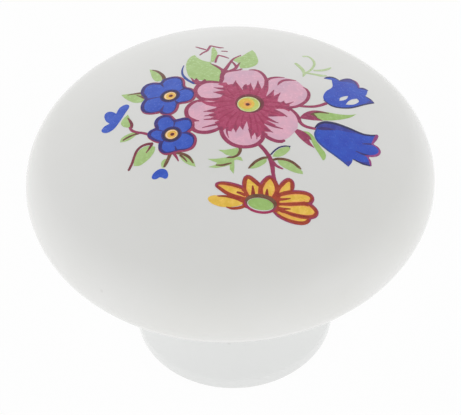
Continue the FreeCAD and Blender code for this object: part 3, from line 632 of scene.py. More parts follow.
paint("line",
      field((-3.05, 3.5), (-3.35, 4.65), (-2.95, 4.1), (-2.8, 4.45), (-2.5, 3.85), (-2.3, 3.8),
            (-2.0, 4.15), (-1.8, 3.7), (-1.2, 3.65), (-0.7, 3.5), (-0.5, 3.3), (-1.7, 3.4),
            (-2.6, 3.3)),
      pen([(-1.45, 6.75), (-1.0, 6.3), (-0.6, 5.8), (-0.3, 5.35)], [0.1, 0.26, 0.3, 0.35]),
      pen([(-2.45, 8.65), (-2.2, 9.05), (-1.8, 9.45), (-1.6, 10.0), (-1.45, 10.65)],
          [0.15, 0.2, 0.25, 0.25, 0.22]),
      pen([(-2.85, 10.65), (-2.4, 10.2), (-1.9, 9.75)], [0.12, 0.2, 0.2]),
      pen([(-1.45, 10.65), (-1.0, 10.3), (-0.5, 10.0), (-0.2, 9.95)], [0.2, 0.22, 0.22, 0.1]),
      pen([(-1.0, 6.95), (-0.9, 7.6), (-0.72, 8.35)], [0.2, 0.22, 0.2]),
      pen([(-0.72, 8.35), (-0.3, 8.1), (0.25, 7.65)], [0.2, 0.2, 0.12]),
      pen([(-0.4, 9.2), (-0.1, 9.15), (0.15, 9.05)], [0.12, 0.16, 0.14]),
      pen([(-0.35, 5.1), (0.0, 5.8), (0.3, 6.6), (0.7, 7.5), (1.4, 8.2)],
          [0.45, 0.35, 0.28, 0.22, 0.12]),
      pen([(0.55, 6.95), (0.8, 6.4), (0.9, 5.9), (0.6, 5.4)], [0.15, 0.22, 0.28, 0.3]),
      pen([(1.3, 6.75), (1.05, 6.2), (0.85, 5.7), (0.4, 5.35)], [0.1, 0.25, 0.3, 0.3]),
      pen([(0.5, 5.3), (1.0, 5.35), (1.45, 5.6)], [0.3, 0.25, 0.15]))
paint("line",
      field([(6.4, -1.2), (6.9, -0.55), (7.6, -0.12), (8.4, -0.02), (9.1, -0.15)], (9.1, -0.25),
            [(8.4, -0.3), (7.7, -0.5)], (7.95, -0.85), (8.0, -1.0), (8.45, -1.28),
            [(7.5, -1.38), (6.5, -1.35)]),
      field([(5.65, -2.75), (6.1, -2.72), (6.7, -2.98), (7.15, -3.4), (7.32, -3.85)],
            (7.05, -3.8), (7.15, -4.1), (7.5, -4.72),
            [(6.9, -4.4), (6.3, -3.8), (5.9, -3.2), (5.65, -2.75)]))
paint("navy",
      pen([(3.6, -5.85), (3.95, -5.4), (4.4, -5.0), (4.9, -4.82), (5.3, -4.82)],
          [0.12, 0.14, 0.14, 0.14, 0.1]),
      field((5.25, -4.8), (5.4, -4.75), (5.25, -5.05)))
paint("deep_blue",
      pen([(-3.95, 6.9), (-4.1, 6.1), (-4.08, 5.4), (-3.9, 4.8), (-3.55, 4.2), (-3.0, 3.55)],
          [0.08, 0.16, 0.2, 0.24, 0.26, 0.2]))
print("shapes so far:", len(LAYERS))

# %% [markdown]
# The large flower has six petals. Each has a pink field with a fringed inner end, where the dark heart
# reaches in like fingers, and a dark outline that swells and thins as a brush does. A wider pink ground
# goes in first, and the dark middle over it. The pink fields then leave the fingers standing.

# %% The large flower
pink_petals = [field([(0.1, 3.0), (-0.12, 3.6), (-0.2, 4.2), (-0.05, 4.75), (0.15, 5.0),
                      (0.6, 5.12), (1.2, 5.25), (1.8, 5.3), (2.3, 5.22), (2.9, 5.05), (3.2, 4.7),
                      (3.35, 4.2), (3.42, 3.5), (3.38, 3.0)], (3.15, 2.35), (2.85, 3.55),
                     (2.42, 2.15), (2.15, 3.15), (1.95, 2.9), (1.55, 2.95), (1.4, 2.2),
                     (0.8, 3.55), (0.62, 3.05), (0.45, 3.1)),
               field([(-0.6, 1.2), (-1.2, 1.12), (-2.0, 1.25), (-2.45, 1.6), (-2.65, 2.2),
                      (-2.55, 2.8), (-2.2, 3.2), (-1.7, 3.35), (-1.1, 3.2), (-0.6, 2.95),
                      (-0.35, 2.85)], (-0.35, 2.6), (-1.15, 2.68), (-0.3, 2.2), (-1.25, 2.0),
                     (-0.4, 1.55)),
               field((-2.15, 0.82), (-1.7, 0.8), (-1.05, 0.62), (-1.6, 0.62)),
               field((-2.35, 0.72), (-1.9, 0.25), (-1.4, 0.0), (-1.0, -0.12), (-1.05, -0.25),
                     (-2.15, -0.6), (-1.2, -0.85), (-2.1, -1.15), (-1.25, -1.4), (-2.1, -1.65),
                     (-0.8, -1.85), (-2.25, -2.6), (-1.0, -2.75), (-1.0, -2.85),
                     [(-1.8, -2.95), (-2.4, -2.9), (-2.9, -2.7), (-3.0, -2.4), (-2.8, -2.1),
                      (-2.6, -1.75)],
                     [(-2.9, -1.5), (-3.3, -1.1), (-3.5, -0.5), (-3.4, 0.1), (-3.1, 0.5),
                      (-2.7, 0.7), (-2.35, 0.72)]),
               field([(-0.35, -2.95), (-0.35, -3.6), (-0.05, -4.2), (0.4, -4.6), (1.0, -4.8),
                      (1.7, -4.75), (2.3, -4.45), (2.7, -4.0), (2.85, -3.65)], (2.45, -4.15),
                     (2.3, -3.45), (1.95, -4.1), (1.65, -2.05), (1.25, -3.1), (1.0, -2.65),
                     (0.65, -3.35), (0.4, -2.9), (0.0, -4.0), (-0.25, -2.95)),
               field([(4.25, -0.4), (5.0, -0.35), (5.6, -0.75), (6.0, -1.4), (6.15, -2.0),
                      (6.1, -2.6), (5.6, -3.4), (5.1, -3.95), (4.6, -4.1), (3.9, -3.85),
                      (3.3, -3.45)], (3.15, -3.3), (3.85, -3.3), (3.15, -2.35), (4.75, -2.8),
                     (3.4, -1.9), (4.35, -2.1), (3.5, -1.45), (5.2, -1.25)),
               field([(3.55, 1.55), (3.75, 2.4), (3.8, 3.2), (3.85, 3.75), (4.3, 4.1),
                      (4.9, 4.25), (5.6, 4.2), (6.4, 4.0), (7.0, 3.15), (7.2, 2.6), (7.15, 1.9),
                      (6.95, 1.2), (6.5, 0.65), (6.0, 0.3), (5.5, 0.1)], (5.9, 0.7), (5.35, 0.3),
                     (5.05, 0.75), (4.75, 0.55), (4.5, 0.7), (4.75, 1.9), (4.2, 1.4),
                     (4.25, 2.25), (3.5, 1.3))]
paint("pink",
      ring((-0.3, 2.6), (-0.42, 4.0), (-0.15, 4.95), (0.6, 5.25), (1.8, 5.32), (2.8, 5.3),
           (3.35, 4.8), (3.55, 4.0), (3.5, 2.6), (1.6, 1.8)),
      ring((-0.1, 1.1), (-1.6, 1.05), (-2.4, 1.25), (-2.8, 2.1), (-2.6, 2.95), (-2.0, 3.45),
           (-1.2, 3.4), (-0.2, 3.1)),
      ring((-0.4, 0.8), (-2.1, 0.88), (-3.1, 0.6), (-3.65, 0.0), (-3.65, -0.85), (-3.15, -1.6),
           (-3.1, -2.45), (-2.7, -3.0), (-1.9, -3.2), (-0.8, -2.85), (0.2, -1.0)),
      ring((-0.65, -2.6), (-0.52, -3.75), (-0.05, -4.55), (0.8, -4.97), (1.9, -4.97),
           (2.65, -4.6), (3.0, -3.85), (2.8, -2.6), (1.0, -1.6)),
      ring((3.6, -0.3), (5.0, -0.2), (5.8, -0.5), (6.2, -1.35), (6.05, -2.4), (5.4, -3.4),
           (4.8, -4.15), (4.0, -4.2), (3.2, -3.7), (2.6, -2.0)),
      ring((2.8, 1.2), (3.6, 3.2), (3.9, 4.0), (4.5, 4.33), (5.4, 4.33), (6.3, 4.05), (6.95, 3.3),
           (7.3, 2.75), (7.35, 2.1), (7.05, 1.15), (6.4, 0.45), (5.6, 0.1), (4.0, -0.1)))
paint("core",
      field((3.75, 3.7), (-0.6, 3.35), (-2.7, 0.9), (-0.75, -3.0), (3.1, -4.1), (5.8, -0.1)))
paint("streak", pen([(0.7, 1.1), (0.2, 1.9), (-0.1, 2.7)], 0.12),
      pen([(1.2, 1.5), (1.0, 2.3), (0.85, 3.3)], 0.2),
      pen([(2.0, 1.6), (2.1, 2.2), (2.15, 2.9)], 0.2),
      pen([(2.6, 1.4), (2.9, 2.2), (3.0, 3.2)], 0.22),
      pen([(3.1, 0.9), (3.8, 1.2), (4.3, 1.6)], 0.2),
      pen([(3.2, 0.5), (4.1, 0.5), (5.2, 0.55)], 0.2),
      pen([(3.2, 0.0), (4.2, -0.1), (5.4, -0.05)], 0.22),
      pen([(3.0, -0.5), (3.7, -0.8), (4.6, -1.0)], 0.2),
      pen([(2.9, -0.9), (3.4, -1.6), (4.1, -2.0)], 0.16),
      pen([(2.6, -1.1), (3.1, -2.2), (3.6, -2.9)], 0.2),
      pen([(2.3, -1.2), (2.5, -2.3), (2.6, -3.3)], 0.2),
      pen([(1.9, -1.2), (2.0, -2.2), (1.95, -3.6)], 0.2),
      pen([(1.4, -1.2), (1.2, -2.0), (1.2, -2.9)], 0.14),
      pen([(1.1, -1.1), (0.7, -2.0), (0.6, -3.1)], 0.18),
      pen([(0.8, -0.9), (0.2, -1.7), (-0.2, -2.6)], 0.2),
      pen([(0.6, -0.6), (-0.3, -1.3), (-1.0, -1.9)], 0.16),
      pen([(0.5, -0.3), (-0.5, -0.7), (-1.4, -1.2)], 0.16),
      pen([(0.5, 0.1), (-0.5, -0.1), (-1.4, -0.5)], 0.14),
      pen([(0.6, 0.6), (-0.4, 0.6), (-1.5, 0.45)], 0.18),
      pen([(0.6, 0.9), (-0.2, 1.4), (-0.9, 1.9)], 0.14))
paint("pink", *pink_petals)
paint("line", pen([(-0.2, 2.35), (-0.7, 2.45), (-1.2, 2.7)], [0.3, 0.2, 0.08]),
      pen([(-0.3, 1.6), (-0.8, 1.8), (-1.25, 2.0)], [0.3, 0.2, 0.08]),
      pen([(-1.0, -0.5), (-1.6, -0.58), (-2.15, -0.62)], [0.3, 0.18, 0.1]),
      pen([(-1.1, -1.1), (-1.6, -1.17), (-2.1, -1.2)], [0.25, 0.16, 0.1]),
      pen([(-1.1, -1.6), (-1.6, -1.65), (-2.15, -1.65)], [0.28, 0.2, 0.12]),
      pen([(-0.8, -2.3), (-1.5, -2.45), (-2.3, -2.62)], [0.3, 0.2, 0.1]),
      pen([(-0.1, -2.8), (-0.15, -3.4), (0.0, -4.0)], [0.25, 0.16, 0.06]),
      pen([(0.6, -2.6), (0.62, -3.0), (0.65, -3.4)], [0.3, 0.22, 0.06]),
      pen([(1.25, -2.6), (1.26, -2.85), (1.27, -3.1)], [0.3, 0.2, 0.06]),
      pen([(1.9, -3.0), (1.95, -3.6), (1.97, -4.15)], [0.35, 0.2, 0.08]),
      pen([(2.45, -3.5), (2.48, -3.85), (2.45, -4.2)], [0.25, 0.16, 0.06]),
      pen([(4.2, -0.55), (4.8, -0.9), (5.25, -1.3)], [0.25, 0.22, 0.12]),
      pen([(3.6, -1.2), (4.0, -1.3), (4.4, -1.25)], [0.25, 0.2, 0.08]),
      pen([(3.7, -1.85), (4.1, -2.05), (4.45, -2.15)], [0.25, 0.18, 0.08]),
      pen([(3.4, -2.3), (4.0, -2.6), (4.8, -2.85)], [0.3, 0.25, 0.1]),
      pen([(3.2, -2.9), (3.6, -3.15), (3.9, -3.35)], [0.25, 0.18, 0.08]),
      pen([(3.7, 1.3), (4.0, 1.8), (4.25, 2.3)], [0.3, 0.2, 0.08]),
      pen([(4.3, 1.1), (4.6, 1.5), (4.8, 1.95)], [0.3, 0.18, 0.08]),
      pen([(4.7, 0.4), (4.95, 0.6), (5.1, 0.8)], [0.25, 0.18, 0.08]),
      pen([(5.2, 0.3), (5.55, 0.5), (5.95, 0.8)], [0.25, 0.18, 0.08]),
      pen([(0.6, 2.8), (0.72, 3.2), (0.83, 3.65)], [0.3, 0.22, 0.06]),
      pen([(1.6, 2.4), (1.68, 2.8), (1.75, 3.05)], [0.5, 0.3, 0.1]),
      pen([(2.1, 2.5), (2.15, 2.9), (2.17, 3.25)], [0.3, 0.16, 0.06]),
      pen([(2.75, 2.6), (2.82, 3.1), (2.85, 3.65)], [0.35, 0.22, 0.06]))
paint("line",
      pen([(-0.62, 3.3), (-0.45, 3.9), (-0.42, 4.5), (-0.2, 5.05), (0.3, 5.25), (0.9, 5.33),
           (1.3, 5.42)], [0.35, 0.42, 0.42, 0.5, 0.35, 0.27, 0.15]),
      pen([(2.1, 5.4), (2.6, 5.42), (3.1, 5.1), (3.4, 4.6), (3.58, 4.0), (3.63, 3.4), (3.5, 2.6),
           (3.35, 2.2)], [0.12, 0.26, 0.32, 0.33, 0.33, 0.35, 0.3, 0.1]),
      pen([(3.65, 3.75), (4.0, 4.1), (4.6, 4.33), (5.3, 4.4)], [0.35, 0.3, 0.25, 0.08]),
      pen([(4.62, 3.05), (4.8, 3.45), (5.15, 3.85), (5.7, 4.05), (6.35, 4.08)],
          [0.08, 0.25, 0.3, 0.28, 0.1]),
      pen([(6.95, 3.15), (7.25, 2.85), (7.42, 2.3), (7.35, 1.7), (7.1, 1.1), (6.7, 0.6),
           (6.2, 0.2), (5.6, -0.02), (5.0, 0.0)],
          [0.08, 0.25, 0.3, 0.32, 0.3, 0.3, 0.3, 0.3, 0.2]),
      pen([(-0.45, 3.3), (-1.0, 3.5), (-1.7, 3.62), (-2.4, 3.4), (-2.78, 2.85), (-2.88, 2.2),
           (-2.65, 1.55), (-2.3, 1.12), (-1.6, 0.98), (-0.8, 1.02)],
          [0.2, 0.35, 0.4, 0.5, 0.42, 0.38, 0.38, 0.35, 0.28, 0.2]),
      pen([(-0.9, 0.85), (-1.7, 0.95), (-2.6, 0.93), (-3.2, 0.65), (-3.62, 0.1), (-3.72, -0.5),
           (-3.55, -1.15), (-3.1, -1.6), (-2.6, -1.75)],
          [0.1, 0.2, 0.3, 0.4, 0.4, 0.38, 0.38, 0.4, 0.12]),
      pen([(-3.2, -1.7), (-3.2, -2.2), (-3.08, -2.75), (-2.6, -3.1), (-1.9, -3.22), (-1.2, -3.05),
           (-0.7, -2.75)], [0.35, 0.35, 0.38, 0.36, 0.38, 0.36, 0.3]),
      pen([(-0.65, -2.7), (-0.62, -3.3), (-0.4, -3.95), (0.1, -4.6), (0.8, -4.98), (1.6, -5.05),
           (2.3, -4.85), (2.8, -4.4), (3.05, -3.85), (3.0, -3.3)],
          [0.3, 0.38, 0.38, 0.36, 0.36, 0.33, 0.36, 0.36, 0.34, 0.25]),
      pen([(5.2, -0.05), (5.7, -0.35), (6.1, -0.85), (6.3, -1.35), (6.4, -1.85), (6.8, -2.25),
           (7.4, -2.4), (7.75, -2.42)], [0.2, 0.3, 0.33, 0.35, 0.33, 0.33, 0.3, 0.28]),
      pen([(3.1, -3.6), (3.5, -4.0), (4.1, -4.3), (4.6, -4.33), (4.88, -4.18)],
          [0.3, 0.36, 0.35, 0.33, 0.25]))
for ink, centre, radius in (("maroon", (1.98, 0.26), 1.3), ("olive", (1.93, 0.2), 1.1),
                            ("pale", (1.88, 0.15), 1.02), ("lime", (1.86, 0.14), 0.93),
                            ("yellow", (1.7, 0.22), 0.72), ("orange", (1.8, 0.18), 0.36),
                            ("umber", (1.79, 0.12), 0.19)):
    paint(ink, disc(centre, radius))
print("shapes so far:", len(LAYERS))

# %% [markdown]
# The two five-petal flowers are a blue field inside a dark outline. On the real transfer the blue was
# printed a little up and to the left of the outline, so the outline's lower and right sides stay
# magenta where they have no blue under them. The same small shift is given to the blue here.

# %% The two five-petal flowers
BLUE_SHIFT = (-0.11, 0.09)
BLUE_GROWTH = 0.06
OUTLINE_WIDTH = 0.34
upper = field([(-6.0, 4.3), (-5.7, 4.75), (-5.1, 4.97), (-4.5, 4.85), (-4.1, 4.45), (-3.98, 3.9),
               (-3.95, 3.3), (-3.75, 2.95)],
              [(-3.3, 2.7), (-3.02, 2.3), (-2.95, 1.75), (-3.15, 1.2), (-3.6, 0.93), (-4.1, 0.9),
               (-4.5, 0.85)],
              [(-4.55, 0.4), (-4.75, -0.15), (-5.2, -0.42), (-5.7, -0.3), (-6.05, 0.1)],
              [(-6.4, 0.05), (-7.0, 0.12), (-7.5, 0.45), (-7.72, 1.1), (-7.6, 1.75),
               (-7.35, 2.15)],
              [(-7.5, 2.6), (-7.75, 3.2), (-7.65, 4.0), (-7.25, 4.45), (-6.7, 4.5), (-6.3, 4.32)])
lower = field([(-6.3, -2.05), (-6.45, -1.4), (-6.2, -0.8), (-5.75, -0.6), (-5.2, -0.72),
               (-4.9, -1.15), (-4.7, -1.42)],
              [(-4.3, -1.35), (-3.8, -1.3), (-3.35, -1.5), (-3.15, -2.0), (-3.25, -2.6),
               (-3.7, -3.0)],
              [(-3.4, -3.2), (-3.05, -3.6), (-2.98, -4.15), (-3.2, -4.75), (-3.7, -5.0),
               (-4.3, -5.0), (-4.6, -5.0)],
              [(-5.0, -5.12), (-5.6, -5.08), (-6.0, -4.65), (-6.05, -4.1), (-5.95, -3.75)],
              [(-6.35, -3.55), (-6.8, -3.15), (-7.05, -2.75), (-6.9, -2.3), (-6.5, -2.1)])
for petals in (upper, lower):
    paint("blue", grown(petals, BLUE_GROWTH, BLUE_SHIFT))
    paint("line", band(petals, OUTLINE_WIDTH))
paint("indigo", pen([(-6.05, 4.25), (-5.95, 4.0), (-5.8, 3.6)], [0.36, 0.2, 0.05]),
      pen([(-3.8, 2.98), (-4.05, 2.85), (-4.4, 2.65)], [0.36, 0.2, 0.05]),
      pen([(-4.5, 0.9), (-4.62, 1.1), (-4.75, 1.35)], [0.36, 0.2, 0.05]),
      pen([(-6.02, 0.15), (-5.9, 0.45), (-5.75, 0.85)], [0.36, 0.2, 0.05]),
      pen([(-7.35, 2.15), (-7.0, 2.18), (-6.0, 2.2)], [0.36, 0.16, 0.08]),
      pen([(-6.4, -2.1), (-6.2, -2.25), (-5.75, -2.5)], [0.3, 0.15, 0.06]),
      pen([(-4.75, -1.45), (-4.78, -1.65), (-4.85, -2.2)], [0.3, 0.15, 0.06]),
      pen([(-3.7, -3.0), (-3.95, -3.02), (-4.35, -2.98)], [0.3, 0.18, 0.06]),
      pen([(-4.6, -4.95), (-4.68, -4.7), (-4.75, -4.4)], [0.3, 0.15, 0.05]),
      pen([(-5.95, -3.78), (-5.8, -3.68), (-5.5, -3.45)], [0.3, 0.15, 0.05]))
for x, y in ((-5.2, 2.12), (-5.05, -3.0)):
    for ink, radius in (("indigo", 0.93), ("navy", 0.82), ("olive", 0.64), ("peach", 0.54)):
        paint(ink, disc((x, y), radius))
    for ink, aside, radius in (("yellow", 0.05, 0.43), ("orange", 0.08, 0.27),
                               ("umber", 0.08, 0.18)):
        paint(ink, disc((x + aside, y - 0.02), radius))
print("shapes so far:", len(LAYERS))

# %% [markdown]
# The bell flowers and the buds are blue fields too. Each has two or three dark strokes where its rim
# curls, and the upper bell has two glints, which are places left without ink so that the glaze shows.

# %% Bell flowers and buds
paint("bell",
      field([(8.95, 1.25), (8.72, 2.0), (9.05, 3.0), (9.7, 3.9), (9.75, 5.1)], (9.05, 5.12),
            [(9.7, 5.58), (10.5, 5.22)], [(11.1, 5.7), (11.65, 5.97), (12.1, 5.5), (12.2, 4.8)],
            [(12.7, 4.95), (13.1, 4.8)], [(12.95, 4.1), (12.75, 3.6)],
            [(13.2, 3.35), (13.55, 2.9)],
            [(12.3, 2.1), (11.2, 1.25), (10.2, 0.93), (8.95, 1.25)]),
      field([(8.0, -1.85), (8.4, -1.45), (9.3, -1.35), (10.5, -1.6), (11.8, -2.0), (12.8, -1.85),
             (13.4, -1.65)], [(13.3, -2.2), (12.9, -2.9)],
            [(13.3, -3.2), (13.45, -3.6), (13.2, -4.1), (12.4, -4.5)],
            [(12.3, -5.0), (12.4, -5.6)], [(11.7, -5.5), (10.85, -5.25)],
            [(10.7, -5.7), (10.4, -6.15)],
            [(9.5, -5.3), (8.5, -4.6), (7.8, -3.8), (7.6, -3.0), (8.0, -1.85)]))
paint("dusk",
      field([(7.75, -2.45), (8.1, -1.85), (8.8, -1.5), (9.8, -1.55), (10.8, -1.85),
             (11.8, -2.15)],
            [(10.8, -2.15), (9.9, -2.15), (9.0, -2.2), (8.3, -2.35), (7.75, -2.45)]),
      field([(9.9, 5.0), (10.6, 5.3), (11.2, 5.65), (11.7, 5.85), (12.1, 5.5), (12.2, 4.9)],
            [(11.8, 5.25), (11.3, 5.3), (10.6, 5.1), (9.9, 5.0)]),
      field([(12.6, 2.3), (13.1, 2.6), (13.5, 2.92)], [(13.25, 3.1), (12.9, 2.85), (12.6, 2.3)]),
      field([(10.8, -5.4), (10.65, -5.7), (10.4, -6.1)],
            [(10.15, -5.8), (10.4, -5.6), (10.8, -5.4)]),
      field([(12.35, -5.5), (11.8, -5.5), (11.4, -5.35)], [(11.9, -5.3), (12.3, -5.1)]))
paint("indigo",
      field([(7.8, -2.42), (8.3, -2.12), (8.9, -2.05), (9.6, -2.2)],
            [(8.9, -2.36), (8.3, -2.48), (7.8, -2.42)]))
paint(None,
      field([(10.2, 1.92), (10.3, 2.4), (10.75, 2.8), (11.1, 3.0)],
            [(11.0, 2.6), (10.7, 2.2), (10.2, 1.92)]),
      field([(10.75, 1.55), (11.05, 2.15), (11.45, 2.6), (11.9, 2.88)],
            [(12.08, 2.6), (11.85, 2.15), (11.4, 1.75), (10.75, 1.55)]))
paint("navy",
      pen([(8.75, 1.6), (9.4, 1.0), (10.2, 0.92), (11.3, 1.3), (12.5, 2.2), (13.5, 2.9)], 0.15),
      pen([(9.05, 5.15), (9.4, 5.45), (9.9, 5.6), (10.4, 5.35)], [0.1, 0.22, 0.22, 0.1]),
      pen([(7.7, -2.3), (8.1, -1.75), (8.7, -1.42), (9.6, -1.4), (10.8, -1.68), (12.0, -2.0),
           (12.8, -1.9), (13.4, -1.65)], [0.12, 0.24, 0.3, 0.3, 0.28, 0.24, 0.2, 0.18]),
      pen([(12.4, -5.55), (11.7, -5.5), (10.9, -5.25)], [0.1, 0.18, 0.1]))
paint("deep_blue",
      pen([(7.9, -2.4), (7.65, -3.0), (7.8, -3.8), (8.5, -4.6), (9.5, -5.35), (10.4, -6.1)],
          0.16))
paint("indigo",
      pen([(10.5, 5.25), (11.1, 5.72), (11.6, 5.92), (12.0, 5.65), (12.15, 5.0)],
          [0.14, 0.3, 0.3, 0.26, 0.14]),
      pen([(12.15, 4.72), (12.75, 4.85), (13.1, 4.75)], [0.16, 0.28, 0.14]),
      pen([(12.75, 3.6), (13.2, 3.3), (13.5, 2.9)], [0.12, 0.2, 0.1]))
paint("indigo", pen([(11.9, -3.2), (12.45, -3.05), (12.9, -2.95)], [0.08, 0.2, 0.22]),
      pen([(11.2, -4.25), (11.8, -4.42), (12.4, -4.42)], [0.08, 0.22, 0.2]))
paint("plum",
      pen([(11.75, 6.0), (12.1, 5.75), (12.27, 5.2), (12.27, 4.85)], [0.06, 0.16, 0.16, 0.1]),
      pen([(13.35, -1.7), (13.15, -2.2), (12.8, -2.9)], [0.3, 0.3, 0.16]),
      pen([(12.75, -2.95), (13.25, -3.2), (13.42, -3.6), (13.15, -4.1), (12.55, -4.42),
           (12.0, -4.55)], [0.12, 0.2, 0.2, 0.22, 0.2, 0.1]),
      pen([(12.2, -4.6), (12.4, -5.0), (12.45, -5.5)], [0.12, 0.2, 0.14]))
paint("blue",
      field([(-11.25, 1.1), (-11.2, 1.52), (-10.88, 1.72), (-10.45, 1.5), (-10.15, 1.15)],
            [(-9.8, 1.9), (-9.2, 2.1), (-8.95, 1.7), (-9.3, 0.9), (-9.9, -0.3), (-10.4, -0.95),
             (-11.0, -1.1), (-11.45, -0.7), (-11.2, -0.2), (-10.7, 0.0)],
            [(-11.08, 0.5), (-11.25, 1.1)]),
      field([(-6.1, -7.48), (-6.4, -7.62), (-6.72, -7.55), (-6.8, -7.3), (-6.5, -6.87),
             (-6.05, -6.66), (-5.6, -6.8), (-5.37, -7.2), (-5.4, -7.62), (-5.6, -7.74),
             (-5.85, -7.6), (-6.1, -7.48)]))
print("shapes so far:", len(LAYERS))

# %% [markdown]
# The half daisy hangs at the bottom of the spray. Each petal is a yellow window with a thin orange rim. A
# wider yellow ground lies under the petals, so the line ink turns to rust wherever it crosses it, and
# stays magenta only at the very edge. The marks inside the petals come last.

# %% The half daisy
PETAL_GROUND, PETAL_RIM, PETAL_INSIDE = 0.27, 0.04, -0.05
HEART_TURN = -8.0

windows = [field([(-0.98, -9.02), (-0.7, -8.92), (0.0, -9.1), (0.5, -9.3), (0.95, -9.55),
                  (1.25, -9.95)], (1.25, -10.1),
                 [(0.6, -9.98), (0.1, -9.78), (-0.35, -9.5), (-0.98, -9.02)]),
           field([(1.65, -9.98), (1.42, -9.5), (1.35, -8.9), (1.5, -8.38), (2.0, -8.7),
                  (2.3, -9.0), (2.38, -9.35), (2.3, -9.85)]),
           field([(2.74, -9.8), (2.82, -9.3), (3.05, -8.85), (3.36, -8.42), (3.62, -8.6),
                  (3.8, -8.98), (3.76, -9.45), (3.5, -10.0)]),
           field([(4.15, -9.7), (4.4, -9.2), (4.75, -8.75), (5.12, -8.5)],
                 [(5.17, -8.9), (5.1, -9.3)], (4.7, -9.5)),
           field([(4.3, -10.02), (4.9, -9.84), (5.4, -9.72), (6.0, -9.66), (6.6, -9.72),
                  (6.82, -9.9), (6.6, -10.1), (6.2, -10.26), (5.5, -10.4), (4.9, -10.5),
                  (4.15, -10.56)]),
           field([(4.05, -10.86), (4.6, -10.85), (5.1, -10.85), (5.6, -10.73), (6.2, -10.68),
                  (6.8, -10.85), (7.1, -11.12), (6.9, -11.36), (6.4, -11.5), (5.8, -11.5),
                  (5.2, -11.38), (4.5, -11.24)]),
           field([(3.95, -11.35), (4.5, -11.6), (5.2, -11.78), (5.9, -11.85), (6.4, -11.8)],
                 [(6.3, -12.02), (5.9, -12.13), (5.3, -12.05), (4.6, -11.8), (3.95, -11.35)])]
first = field([(-1.9, -10.35), (-1.97, -10.08), (-1.75, -9.9), (-1.3, -9.86), (-0.8, -9.98),
               (-0.2, -10.1), (0.4, -10.28), (0.9, -10.55)], (1.0, -10.7),
              [(0.75, -10.87), (0.3, -10.97), (-0.2, -11.0), (-0.8, -10.95), (-1.3, -10.78),
               (-1.7, -10.55), (-1.9, -10.35)])
first_lines = [pen([(-1.15, -9.93), (-0.6, -9.97), (0.0, -10.1), (0.5, -10.25), (1.1, -10.55)],
                   [0.1, 0.18, 0.24, 0.28, 0.3]),
               pen([(-0.4, -10.98), (0.0, -11.12), (0.5, -11.12), (0.9, -11.03), (1.3, -10.85)],
                   [0.1, 0.2, 0.26, 0.28, 0.3])]
ground = field((1.05, -9.3), (1.2, -8.5), (2.5, -8.95), (3.9, -8.7), (4.3, -9.0), (5.2, -9.4),
               (6.6, -10.5), (6.7, -11.6), (3.7, -11.45), (2.5, -11.5), (1.2, -11.1),
               (0.7, -10.5), (0.6, -9.8))
paint("yellow", first, ground, *first_lines, *[grown(window, PETAL_GROUND) for window in windows])
paint("line", ground)
paint("orange", *[grown(window, PETAL_RIM) for window in windows])
paint("yellow", first, *[grown(window, PETAL_INSIDE) for window in windows])
paint("line", *first_lines,
      pen([(1.15, -9.3), (0.6, -9.06), (0.0, -8.86), (-0.6, -8.74), (-1.1, -8.76), (-1.2, -8.92),
           (-0.85, -9.28), (-0.4, -9.66), (0.1, -9.94), (0.6, -10.12), (1.2, -10.35)],
          [0.36, 0.38, 0.37, 0.34, 0.3, 0.28, 0.3, 0.32, 0.34, 0.34, 0.34]),
      pen([(1.19, -9.5), (1.19, -8.9), (1.29, -8.42), (1.48, -8.18), (1.75, -8.28), (2.1, -8.6),
           (2.4, -8.9), (2.55, -9.1)], 0.4),
      pen([(2.57, -9.3), (2.77, -8.8), (3.0, -8.5), (3.3, -8.22), (3.55, -8.2), (3.79, -8.52),
           (3.95, -9.0), (3.93, -9.5)], 0.4),
      pen([(4.1, -9.3), (4.44, -8.82), (4.78, -8.46), (5.08, -8.34), (5.31, -8.54), (5.33, -9.0),
           (5.23, -9.45)], 0.38),
      pen([(4.1, -9.8), (4.6, -9.66), (5.2, -9.52), (5.9, -9.45), (6.5, -9.5), (6.9, -9.7),
           (6.98, -10.0), (6.82, -10.3), (6.7, -10.45)], 0.36),
      pen([(6.85, -10.42), (6.2, -10.5), (5.5, -10.59), (4.8, -10.66), (4.1, -10.7)],
          [0.32, 0.34, 0.32, 0.28, 0.22]),
      pen([(6.7, -10.47), (7.05, -10.77), (7.28, -11.1), (7.17, -11.43), (6.9, -11.6),
           (6.5, -11.68), (6.0, -11.68), (5.3, -11.58), (4.7, -11.41), (4.1, -11.2)],
          [0.36, 0.36, 0.36, 0.36, 0.36, 0.36, 0.36, 0.34, 0.3, 0.24]),
      pen([(3.6, -11.4), (3.95, -11.7), (4.5, -12.0), (5.2, -12.21), (5.9, -12.26), (6.4, -12.1),
           (6.62, -11.8), (6.6, -11.6)], 0.32),
      pen([(2.57, -8.8), (2.56, -9.4), (2.56, -9.95)], [0.2, 0.4, 0.48]))
paint("line", pen([(0.55, -9.66), (0.85, -9.76), (1.25, -9.95)], [0.2, 0.26, 0.3]),
      pen([(1.92, -9.95), (1.92, -9.5), (1.9, -9.05)], [0.42, 0.28, 0.12]),
      pen([(3.08, -9.95), (3.1, -9.65), (3.14, -9.35)], [0.36, 0.26, 0.12]),
      pen([(4.0, -10.3), (4.6, -10.22), (5.1, -10.12)], [0.3, 0.22, 0.1]),
      pen([(4.0, -11.08), (4.6, -11.1), (5.05, -11.08)], [0.26, 0.2, 0.1]))
